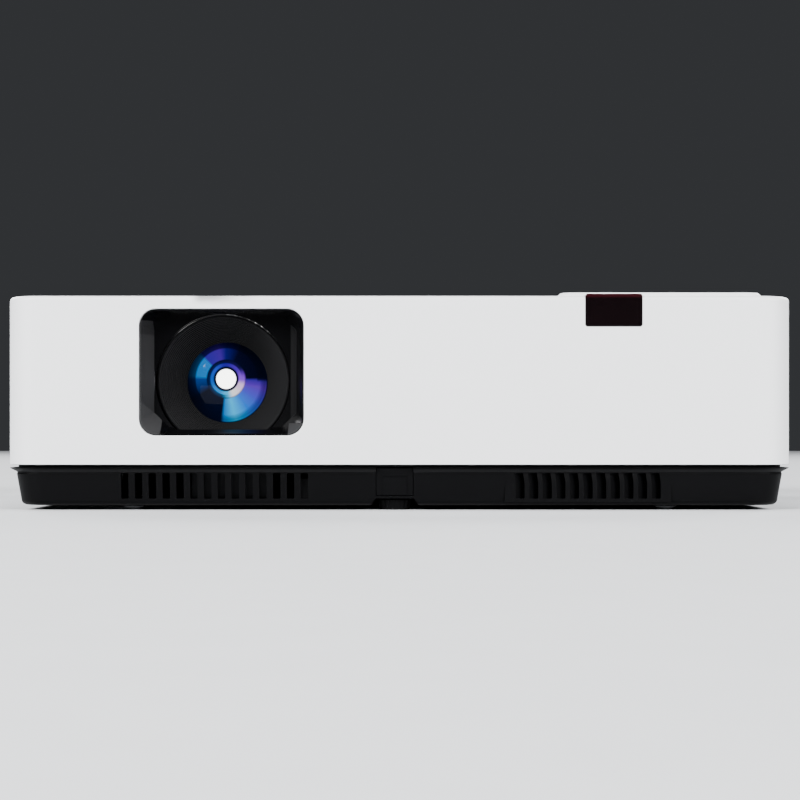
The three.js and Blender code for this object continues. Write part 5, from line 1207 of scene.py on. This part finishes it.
def panel_moulding():
    low, high, at = span("control_panel")
    top = high.z
    levels = [
        (low.z, 0.2), (low.z + 0.2, 0), (top - 1.3, 0), (top - 1.08, 0.08), (top - 0.22, 0.92),
        (top - 0.06, 1.1), (top, 1.35),
    ]
    holes = []
    for node in [name + "_key" for name in KEYS] + ["indicator_window"]:
        place, wide, deep, corner = key_sizes(node)
        holes.append(opening(
            wide + 2 * FIT, deep + 2 * FIT, corner + FIT, top - low.z + PAST, "up",
            (place.x, place.y, top), 0.25, 12, back=True,
        ))
    return cut(raised(high.x - low.x, high.y - low.y, levels, 6, 12, at=plan(at)), *holes)


def laid(shape, angle, x=0, y=0):
    """A flat mark turned by an angle in degrees and laid at a place."""
    turn = Matrix.Translation((x, y, 0)) @ Matrix.Rotation(math.radians(angle), 4, "Z")
    bmesh.ops.transform(shape, matrix=turn, verts=shape.verts)
    return shape


def key_mark(name):
    """The plain symbol printed on a key, on the key's own top."""
    wide, mark, (_, high, at) = size("stroke"), size("mark"), span(name + "_key")

    def bar(long, angle, x=0, y=0):
        return laid(raised(long, wide, [(0, 0), (mark, 0)], wide * 0.4, 3), angle, x, y)

    def arrow(radius, angle, x=0, y=0):
        return laid(rod(radius, 0, mark, steps=3), angle, x, y)

    def hoop(radius):
        near, far = radius - wide / 2, radius + wide / 2
        return turned([(near, 0), (far, 0), (far, mark), (near, mark)], steps=48)

    turns = {"up": 0, "left": 90, "down": 180, "right": 270}
    if name in turns:
        parts = [arrow(1.5, turns[name])]
    elif name == "power":
        parts = [cut(hoop(1.9), block((-wide, 0, -1), (wide, 4, 1))), bar(2.0, 90, 0, 1.5)]
    elif name == "menu":
        parts = [bar(3.6, 0, 0, step) for step in (-1.25, 0, 1.25)]
    elif name == "source":
        parts = [bar(3.0, 90, 2.0), bar(2.6, 0, -0.9), arrow(1.0, 270, 0.4)]
    elif name == "exit":
        parts = [
            bar(2.8, 0, 0.7, -0.9), bar(2.3, 90, 1.85), bar(2.8, 0, 0.7, 0.9),
            arrow(1.0, 90, -1.2, 0.9),
        ]
    else:
        parts = [rod(0.9, 0, mark), hoop(2.0)]
    whole = joined(parts[0], *parts[1:]) if len(parts) > 1 else parts[0]
    return moved(whole, (at.x, at.y, high.z - mark))


# Doors and grilles

def lamp_lid():
    """The lid and its skirt, cut from the cover's own outside so that the two stay flush."""
    low, high = box_mm("lamp_cover")
    thick, screw = 1.5, middle("lamp_cover_screw")
    outside = body_stack([(SEAM, 0)] + roll(TOP, size("top_edge"), True, 6))
    lid = block((low.x, low.y, TOP - thick), (SIDE + PAST, high.y, TOP + PAST))
    skirt = block((SIDE - thick, low.y, low.z), (SIDE + PAST, high.y, TOP + PAST))
    shape = eased(shared(outside, joined(lid, skirt)), 0.25, 2, 50)
    deep = -thick - PAST
    profile = [
        (0, deep), (SCREW_BORE, deep), (SCREW_BORE, -1.4), (3.5, -0.6), (3.5, PAST), (0, PAST),
    ]
    return cut(shape, turned(profile, "right", (SIDE, screw.y, screw.z), 48, ring=False))


def filter_door():
    low, high = box_mm("filter_cover")
    at = middle("air_filter")
    wide, tall, thick, rows = 76.6, 54.6, 2.4, 7
    levels = roll(-SIDE, 0.4, False, 4) + [(-SIDE + thick, 0)]
    shape = raised(wide, tall, levels, 2, 6, "right", (0, at.y, at.z))
    pin = rod(0.9, low.y, high.y, "back", (1.6 - SIDE, 0, at.z + 2 - tall / 2), 24)
    pitch = (tall - 16) / rows
    cuts = []
    for row in range(rows):
        place = (-SIDE, at.y, at.z - tall / 2 + 6 + (row + 0.5) * pitch)
        cuts.append(opening(wide - 12, 3.6, 1.2, 4, "right", place, 0.3, 5))
    grip = opening(16, 4, 1.5, 1, "right", (-SIDE, at.y, at.z + tall / 2 - 4), 0.3, 5)
    return cut(joined(shape, pin), *cuts, grip)


def grille_moulding():
    """An open box behind a plate of seven slots that slant down towards the outside."""
    low, high, at = span("exhaust_grille")
    wide, tall, thick, side = 51.4, 49.4, 2.0, (0, at.y, at.z)
    shape = raised(wide, tall, [(low.x, 0)] + roll(high.x, 0.4, True, 4), 3, 6, "right", side)
    rise = [(SIDE - 4.5, 0), (SIDE - 3.3, 0)]
    flange = raised(wide + 4.6, tall + 4.6, rise, 3, 6, "right", side)
    room = raised(wide - 5, tall - 5, [(low.x - PAST, 0), (high.x - thick, 0)], 1, 4, "right", side)
    slant, slots = -1.05, []
    for row in range(-3, 4):
        slot = opening(wide - 10, 4.2, 1, 2.6, "right", (0, 0, 0), 0.25, 4, back=True)
        place = (high.x, at.y, at.z + row * (tall - 5) / 7 + slant)
        slots.append(slanted(slot, 2, 0, slant, place))
    return cut(joined(shape, flange), room, *slots)


# Terminals, each about the middle of its opening on the face of the terminal panel

PANEL_FACE = REAR - 6.4
MOUTH, SIDES = 9.0, (-1, 1)
D_FLANGE, D_NUT, D_PIN_PITCH, D_ROW_PITCH = (31, 12.6), 12.5, 2.29, 1.75


def socket_at(node):
    at = middle(node)
    return Vector((at.x, PANEL_FACE, at.z))


def d_shape(wide, tall, taper, levels, at, corner=0.9):
    """A connector's D outline: a rounded rectangle that is narrower at the bottom."""
    shape = raised(wide, tall, levels, corner, 5, "back")
    for vert in shape.verts:
        if vert.co.z < 0:
            vert.co.x *= 1 - 2 * taper / wide
    return moved(shape, at)


def d_socket(node):
    """A computer socket: steel flange and collar, the insert and its two hex nuts."""
    at, wide, tall, taper, reach = socket_at(node), 17.0, 8.4, 1.2, 5.8
    flange = raised(*D_FLANGE, [(-12, 0), (-0.3, 0), (0, 0.3)], 0.8, 4, "back", at)
    outer = d_shape(wide, tall, taper, [(-0.5, 0), (reach - 0.2, 0), (reach, 0.15)], at)
    inner = d_shape(wide - 1.2, tall - 1.2, taper, [(-0.4, 0), (reach + PAST, 0)], at, 0.6)
    core = d_shape(wide - 2.4, tall - 2.4, taper, [(-0.5, 0), (4.85, 0), (5.0, 0.15)], at, 0.5)
    holes = []
    for row, shift in ((1, -0.3), (0, 0.57), (-1, -0.3)):
        for place in range(-2, 3):
            pin = (at.x + place * D_PIN_PITCH + shift, at.y, at.z + row * D_ROW_PITCH)
            holes.append(rod(0.42, 2.5, 6, "back", pin, 16))
    nuts = []
    for side in SIDES:
        place = (at.x + side * D_NUT, at.y, at.z)
        nut = rod(2.55, -0.4, 5, "back", place, 6, 0.25)
        nuts.append(cut(nut, rod(1.25, 1, 6, "back", place, 24)))
    return joined(flange, cut(outer, inner)), cut(core, *holes), together(nuts)


def clipped(wide, tall, clip, above, levels, corner, at):
    """A rectangle whose two upper or two lower corners are cut off, carried through levels."""
    shape = plate(wide, tall)
    rounded(shape, [vert for vert in shape.verts if (vert.co.y > 0) == above], clip, 1)
    rounded(shape, list(shape.verts), corner, 3)
    lifted(shape, levels, (wide / 2, tall / 2))
    return placed(shape, "back", at)


def tongue(at, wide, thick, reach, rise):
    """The plastic tongue inside a socket's mouth."""
    levels = [(reach[0], 0), (reach[1] - 0.3, 0), (reach[1], 0.3)]
    return raised(wide, thick, levels, 0.3, 3, "back", (at.x, at.y, at.z + rise))


def contacts(at, count, pitch, wide, rise, end, start=-8.0, thick=0.15):
    """A row of flat contacts that lie along a tongue."""
    half = Vector((wide, 0, thick)) / 2
    rows = []
    for place in range(count):
        x = (place - (count - 1) / 2) * pitch
        low, high = at + Vector((x, start, rise)), at + Vector((x, end, rise))
        rows.append(block(low - half, high + half))
    return together(rows)


def hdmi_shapes(node):
    at = socket_at(node)
    body = clipped(15, 5.6, 1.8, False, [(-12, 0), (0.35, 0), (0.5, 0.1)], 0.25, at)
    mouth = clipped(14, 4.6, 1.5, False, [(-MOUTH, 0), (PAST, 0)], 0.2, at)
    slab = tongue(at, 10.6, 1.1, (-MOUTH - 0.5, -1.2), 0.2)
    return cut(body, mouth), slab, contacts(at, 9, 1.0, 0.45, -0.4, -1.6)


def usb_shapes(node):
    at = socket_at(node)
    body = raised(13.2, 5.8, [(-12, 0), (0.35, 0), (0.5, 0.15)], 0.4, 3, "back", at)
    levels = [(-MOUTH, 0), (0.2, 0), (0.5, -0.2), (PAST, -0.2)]
    mouth = raised(12.2, 4.8, levels, 0.3, 3, "back", at)
    rise = 5.8 / 2 - 0.5 - 1.75 / 2
    slab = tongue(at, 10.2, 1.7, (-MOUTH - 0.4, -4), rise)
    return cut(body, mouth), slab, contacts(at, 4, 2.3, 1.1, rise - 0.86, -4.6)


def lan_shapes(node):
    """The network socket's shell with its key slot, the two lamps over it and its contacts."""
    at = socket_at(node)
    low = at - Vector((0, 0, 13.4 / 2 - 1.5))

    def part(wide, tall, levels, corner, x, rise):
        return raised(wide, tall, levels, corner, 3, "back", low + Vector((x, 0, rise)))

    body = raised(16, 13.4, [(-12.5, 0), (0.35, 0), (0.5, 0.15)], 0.3, 3, "back", at)
    mouth = part(12, 8.6, [(-10, 0), (0.3, 0), (0.5, -0.15), (PAST, -0.15)], 0.3, 0, 4.3)
    key = part(6, 3.2, [(-10, 0), (PAST, 0)], 0.3, 0, 9.6)
    levels = [(-0.4, 0), (0.42, 0), (0.5, 0.1)]
    lamps = [part(2.6, 1.8, levels, 0.2, side * 6.0, 9.9) for side in SIDES]
    pins = contacts(low, 8, 1.02, 0.4, 0.6, -2.0, start=-9.5, thick=0.35)
    return cut(body, mouth, key), together(lamps), pins


def jack_shapes(node):
    """The jack block and the two coloured collars round its bores."""
    at = socket_at(node)
    places = [at + Vector((side * 5, 0, 0)) for side in SIDES]
    body = raised(20, 11, [(-12, 0), (-0.2, 0), (0, 0.2)], 0.4, 3, "back", at)
    bores = [rod(1.8, -MOUTH, PAST, "back", place) for place in places]
    profile = [(1.8, -0.4), (4.0, -0.4), (4.0, 1.3), (3.7, 1.6), (2.3, 1.6), (1.8, 1.1)]
    return cut(body, *bores), [turned(profile, "back", place, 48) for place in places]


def inlet_moulding():
    at = middle("mains_inlet")
    place, face = (at.x, REAR, at.z), -0.3
    body = raised(27.4, 20.4, [(face - 20, 0), (face - 0.3, 0), (face, 0.3)], 2, 6, "back", place)
    flange = raised(32.8, 25.8, [(-5.3, 0), (-3.3, 0)], 2, 6, "back", place)
    levels = [(face - 16, 0), (face - 0.5, 0), (face, -0.5), (PAST, -0.5)]
    mouth = clipped(24.4, 16.8, 4, True, levels, 0.8, place)
    levels = [(face - 18, 0), (face - 7.1, 0), (face - 6.5, 0.5)]
    pins = [
        raised(2, 4, levels, 0.3, 3, "back", (at.x + x, REAR, at.z + rise))
        for x, rise in ((-7, -1.5), (0, 3), (7, -1.5))
    ]
    return cut(joined(body, flange), mouth), together(pins)


# Feet and screws

def standing(profile, at):
    """A solid foot or screw spun upright about the middle of its node."""
    return turned(profile, "up", plan(at), 48, ring=False)


def cross_recess(radius, deep, axis, at):
    """A cutter for a screw's cross recess that narrows towards its bottom."""
    levels, long, narrow = [(-deep, 0.12 * radius), (0, 0), (PAST, 0)], 2 * radius, radius * 0.42
    arms = [raised(*arm, levels, 0.0, 1, axis, at) for arm in ((long, narrow), (narrow, long))]
    return joined(*arms)


def front_foot_shape():
    low, high = box_mm("front_foot")
    levels = [(0, 1.35), (0.3, 1.05), (4.4, 0.02), (4.7, 0.3)]
    knob = fluted((high.x - low.x) / 2, 0.5, 18, levels, "up", plan(FOOT), 8)
    return cut(knob, rod(2.7, 1.2, 4.7 + PAST, at=plan(FOOT)))


def stem_shape():
    """The foot's screw: a spigot, then a thread of shallow ridges that the release grips."""
    low, high = box_mm("front_foot_stem")
    profile = [(0, low.z), (2.2, low.z), (2.4, low.z + 0.2), (2.4, 5.0), (3.6, 5.0), (4.0, 5.4)]
    pitch, height = 1.5, 6.0
    while height + pitch < high.z - 1:
        profile += [(4.0, height), (3.45, height + 0.45 * pitch), (4.0, height + 0.9 * pitch)]
        height += pitch
    return standing(profile + [(4.0, high.z - 0.4), (3.6, high.z), (0, high.z)], FOOT)


def rear_knob(node):
    _, high, at = span(node)
    levels = [(1.9, 0.6), (2.1, 0.25), (2.5, 0), (6.0, 0), (6.4, 0.35)]
    knob = fluted(10, 0.6, 16, levels, "up", plan(at), 8)
    stud = rod(3, 6.1, high.z, at=plan(at), edge=0.4)
    return cut(joined(knob, stud), rod(2.3, 1.9 - PAST, 3.7, at=plan(at)))


def rear_sole(node):
    _, high, at = span(node)
    return standing([
        (0, 0), (5.3, 0), (5.8, 0.15), (6, 0.6), (6, 1.3), (5.7, 1.6), (2, 1.6), (2, high.z - 0.2),
        (1.8, high.z), (0, high.z),
    ], at)


def front_sole(node):
    """A small pad, wider and further out than its node, as it shows in the photograph."""
    low, high, at = span(node)
    at.x += math.copysign(1.6, at.x)
    return standing([
        (0, low.z), (3.2, low.z), (3.5, low.z + 0.15), (4.95, high.z - 0.3), (5.15, high.z - 0.1),
        (5.05, high.z), (0, high.z),
    ], at)


def case_screw(node):
    low, high, at = span(node)
    screw = standing([
        (0, low.z), (2.5, low.z), (3.0, low.z + 0.3), (3.2, low.z + 0.8), (3.2, low.z + 2.0),
        (1.5, low.z + 2.0), (1.5, high.z - 0.8), (0.7, high.z), (0, high.z),
    ], at)
    recess = cross_recess(1.7, 1.3, "up", (0, 0, 0))
    flip = Matrix.Translation((at.x, at.y, low.z)) @ Matrix.Rotation(math.pi, 4, "X")
    bmesh.ops.transform(recess, matrix=flip, verts=recess.verts)
    return cut(screw, recess)


def captive_screw():
    low, high, at = span("lamp_cover_screw")
    profile = [
        (0, low.x), (1.5, low.x), (1.5, high.x - 1.3), (3.1, high.x - 0.5), (3.2, high.x - 0.25),
        (2.8, high.x), (0, high.x),
    ]
    screw = turned(profile, "right", (0, at.y, at.z), 48, ring=False)
    return cut(screw, cross_recess(1.7, 1.0, "right", (high.x, at.y, at.z)))


# Operators

class PROJECTOR_OT_cover(bpy.types.Operator):
    """Build the upper cover with its openings and seats"""

    bl_idname = "projector.cover"
    bl_label = "Upper cover"

    def execute(self, context):
        finished(cover_moulding(), "cover_moulding", "upper_cover", painted_scoop_shade_abs())
        return {"FINISHED"}


class PROJECTOR_OT_case(bpy.types.Operator):
    """Build the lower case with its slots, louvres and feet recesses"""

    bl_idname = "projector.case"
    bl_label = "Lower case"

    def execute(self, context):
        finished(case_moulding(), "case_moulding", "lower_case", lip_highlight_abs())
        return {"FINISHED"}


class PROJECTOR_OT_surround(bpy.types.Operator):
    """Build the polished lens surround and the infrared window"""

    bl_idname = "projector.surround"
    bl_label = "Lens surround and receiver window"

    def execute(self, context):
        finished(surround_moulding(), "lens_surround", "lens_bezel", funnel_abs(), smooth=12)
        finished(receiver_shape(), "receiver_window", "ir_window", receiver_acrylic())
        return {"FINISHED"}


class PROJECTOR_OT_lens(bpy.types.Operator):
    """Build the front cell, its glass, the barrel and both grip rings"""

    bl_idname = "projector.lens"
    bl_label = "Lens"

    def execute(self, context):
        black, cell = cell_aluminium(), turned(cell_profile(), "back", LENS_AXIS, 144)
        front = glass_shape("front_lens", 4, 20.4, 4.6, 4, 2, 96)
        rear = glass_shape("zoom_lens", 2, 22, 8, 2, 2, 64)
        finished(cell, "lens_cell", "front_cell", black, smooth=25)
        finished(front, "front_glass", "front_lens", painted_reflection_glass(18.4))
        finished(rear, "zoom_glass", "zoom_lens", clear_glass())
        finished(barrel_shape(), "barrel", "lens_barrel", black, smooth=25)
        finished(grip_ring("focus_ring"), "focus_grip", "focus_ring", part_abs(), smooth=40)
        finished(grip_ring("zoom_ring", True), "zoom_grip", "zoom_ring", part_abs(), smooth=40)
        return {"FINISHED"}


class PROJECTOR_OT_controls(bpy.types.Operator):
    """Build the control panel, its indicator and the nine keys with their symbols"""

    bl_idname = "projector.controls"
    bl_label = "Control panel and keys"

    def execute(self, context):
        grey, mark = key_abs(), size("mark")
        symbol, power = ink("grey printing ink", "4A4F57"), ink("red printing ink", "A8322C")
        finished(panel_moulding(), "panel_moulding", "control_panel", cover_abs())
        lamps = "indicator_window"
        finished(key_shape(lamps), "indicator", lamps, indicator_diffuser())
        for name in KEYS:
            node, coat = name + "_key", power if name == "power" else symbol
            finished(key_shape(node, mark), name + "_cap", node, grey)
            finished(key_mark(name), name + "_symbol", node, coat, stands_for=False)
        return {"FINISHED"}


class PROJECTOR_OT_doors(bpy.types.Operator):
    """Build the lamp cover, filter door, filter and exhaust grille"""

    bl_idname = "projector.doors"
    bl_label = "Lamp cover, filter door and grille"

    def execute(self, context):
        white = cover_abs()
        finished(lamp_lid(), "lamp_lid_moulding", "lamp_cover", white)
        finished(filter_door(), "filter_door_moulding", "filter_cover", white)
        finished(grille_moulding(), "grille_moulding", "exhaust_grille", white)
        finished(copied("air_filter", 0.8, 3), "filter_foam_pad", "air_filter", foam())
        return {"FINISHED"}


class PROJECTOR_OT_terminals(bpy.types.Operator):
    """Build the rear panel and its sockets"""

    bl_idname = "projector.terminals"
    bl_label = "Terminals"

    def execute(self, context):
        steel, black, gold = plated_steel(), part_abs(), gold_contact()
        blue, green = nylon("blue nylon", "1F4C9A"), nylon("green nylon", "3C8A3F")
        finished(copied("terminal_panel", 0.2, 2), "terminal_plate", "terminal_panel", part_abs())
        sockets = (
            ("computer_socket", d_socket, ("insert", blue), ("nuts", steel)),
            ("monitor_socket", d_socket, ("insert", blue), ("nuts", steel)),
            ("hdmi_socket", hdmi_shapes, ("tongue", black), ("contacts", gold)),
            ("usb_socket", usb_shapes, ("tongue", black), ("contacts", gold)),
            ("lan_socket", lan_shapes, ("lamps", indicator_diffuser()), ("contacts", gold)),
        )
        for node, shapes, *extras in sockets:
            shell, *parts = shapes(node)
            finished(shell, node + "_shell", node, steel)
            for part, (name, coat) in zip(parts, extras):
                finished(part, node + "_" + name, node, coat, stands_for=False)
        shape, collars = jack_shapes("audio_jacks")
        finished(shape, "jack_block", "audio_jacks", black)
        for collar, hand, coat in zip(collars, HANDS, (blue, green)):
            finished(collar, "jack_collar_" + hand, "audio_jacks", coat, stands_for=False)
        shape, pins = inlet_moulding()
        finished(shape, "inlet_moulding", "mains_inlet", black)
        finished(pins, "inlet_pins", "mains_inlet", steel, stands_for=False)
        return {"FINISHED"}


class PROJECTOR_OT_feet(bpy.types.Operator):
    """Build the feet, their pads, the release and the screws beside them"""

    bl_idname = "projector.feet"
    bl_label = "Feet, release and screws"

    def execute(self, context):
        black, steel = case_abs(), plated_steel()
        grey, dark = rubber("grey rubber", "3A3B3D"), rubber("black rubber", "1B1C1E")
        finished(front_foot_shape(), "front_foot_knob", "front_foot", black, smooth=40)
        finished(stem_shape(), "front_foot_screw", "front_foot_stem", black)
        finished(copied("foot_release", 0.25, 3), "release_key", "foot_release", black)
        for hand in HANDS:
            for name, node, shape, coat, smooth in (
                ("rear_knob_", "rear_foot_", rear_knob, black, 40),
                ("rear_sole_", "rear_pad_", rear_sole, dark, 32),
                ("front_sole_", "front_pad_", front_sole, grey, 32),
                ("rear_screw_", "case_screw_", case_screw, steel, 32),
            ):
                finished(shape(node + hand), name + hand, node + hand, coat, smooth=smooth)
        finished(captive_screw(), "lid_screw", "lamp_cover_screw", steel)
        return {"FINISHED"}


class PROJECTOR_OT_works(bpy.types.Operator):
    """Give the fans, boards, lamp and optics their finishes, and place the shield in the case"""

    bl_idname = "projector.works"
    bl_label = "Inner works"

    def execute(self, context):
        coats = {
            part_abs(): (
                "exhaust_fan_frame", "exhaust_fan_rotor", "intake_fan_frame", "intake_fan_rotor",
                "speaker", "red_panel", "green_panel", "blue_panel",
            ),
            mirror_coat(): ("lamp_reflector",),
            cast_alloy(): ("optics_housing",),
            lamp_plastic(): ("lamp_housing",),
            board(): ("main_board", "power_board", "key_board"),
            clear_glass(): ("combiner_prism",),
        }
        for coat, nodes in coats.items():
            for node in nodes:
                frame["nodes"][node].material_slots[0].material = coat
        # The shield stands behind the sixth to the eleventh slot
        left, right = SHIELD
        shield = block((left, FRONT + 9.4, FLOOR_TOP), (right, FRONT + 10.2, 17.2))
        finished(eased(shield, 0.2), "vent_shield", "lower_case", shield_steel(), stands_for=False)
        return {"FINISHED"}


# Camera, floor and light

CAMERA_AT = Vector((0.27, -1030.0, 34.0)) * MM
VIEW_WIDTH = 354.9 * MM
VIEW_CENTRE = 49.0 * MM
SENSOR = 36.0

# Each soft light's place, size in metres and power in watts
LIGHTS = {
    "left box": ((-1.5, -1.6, 1.3), 1.2, 1.2, 150),
    "right box": ((1.5, -1.6, 1.2), 1.2, 1.2, 113),
    "rear left box": ((-1.3, 1.7, 1.4), 1.2, 1.0, 60),
    "rear right box": ((1.4, 1.5, 1.2), 1.0, 1.0, 45),
}
LIT_POINT = Vector((0, 0, 0.05))
FLOOR_WIDTH = 6
WORLD_LIGHT = 0.05


class PROJECTOR_OT_camera(bpy.types.Operator):
    """Place the camera square to the front, as the photograph was taken"""

    bl_idname = "projector.camera"
    bl_label = "Camera"

    def execute(self, context):
        data = bpy.data.cameras.new("camera")
        data.sensor_width = SENSOR
        data.lens = SENSOR * (FRONT * MM - CAMERA_AT.y) / VIEW_WIDTH
        data.shift_y = (VIEW_CENTRE - CAMERA_AT.z) / VIEW_WIDTH
        data.clip_start = 0.01
        camera = linked("camera", data)
        camera.location = CAMERA_AT
        camera.rotation_euler = (math.pi / 2, 0, 0)
        context.scene.camera = camera
        return {"FINISHED"}


class PROJECTOR_OT_stage(bpy.types.Operator):
    """Lay the pale floor and set the soft studio lights"""

    bl_idname = "projector.stage"
    bl_label = "Floor and lights"

    def execute(self, context):
        floor = linked("floor", meshed(plate(FLOOR_WIDTH, FLOOR_WIDTH), "floor"))
        floor.data.materials.append(backdrop_paper())
        world = bpy.data.worlds.new("studio")
        world.use_nodes = True
        background = world.node_tree.nodes["Background"]
        background.inputs["Color"].default_value = linear("DDE2EA")
        background.inputs["Strength"].default_value = WORLD_LIGHT
        context.scene.world = world
        for name, (place, across, tall, watts) in LIGHTS.items():
            data = bpy.data.lights.new(name, "AREA")
            data.shape = "RECTANGLE"
            data.size, data.size_y, data.energy = across, tall, watts
            lamp = linked(name, data)
            lamp.location = place
            aim = LIT_POINT - Vector(place)
            lamp.rotation_euler = aim.to_track_quat("-Z", "Y").to_euler()
        return {"FINISHED"}


class PROJECTOR_PT_panel(bpy.types.Panel):
    """Lists the projector's pieces and settings"""

    bl_label = "Projector"
    bl_idname = "PROJECTOR_PT_panel"
    bl_space_type = "VIEW_3D"
    bl_region_type = "UI"
    bl_category = "Projector"

    def draw(self, context):
        for name in GROUPS:
            group = getattr(context.scene, name)
            for key in group.bl_rna.properties.keys():
                if key not in ("rna_type", "name"):
                    self.layout.prop(group, key)
        for piece in OPERATORS:
            self.layout.operator(piece.bl_idname)


OPERATORS = (
    PROJECTOR_OT_camera,
    PROJECTOR_OT_stage,
    PROJECTOR_OT_cover,
    PROJECTOR_OT_case,
    PROJECTOR_OT_surround,
    PROJECTOR_OT_lens,
    PROJECTOR_OT_controls,
    PROJECTOR_OT_doors,
    PROJECTOR_OT_terminals,
    PROJECTOR_OT_feet,
    PROJECTOR_OT_works,
)


def register():
    for made in (*GROUPS.values(), *OPERATORS, PROJECTOR_PT_panel):
        bpy.utils.register_class(made)
    for name, group in GROUPS.items():
        setattr(bpy.types.Scene, name, bpy.props.PointerProperty(type=group))


def unregister():
    for name in GROUPS:
        delattr(bpy.types.Scene, name)
    for made in reversed((*GROUPS.values(), *OPERATORS, PROJECTOR_PT_panel)):
        bpy.utils.unregister_class(made)


def main():
    register()
    for piece in OPERATORS:
        area, name = piece.bl_idname.split(".")
        getattr(getattr(bpy.ops, area), name)()


if __name__ == "__main__":
    main()
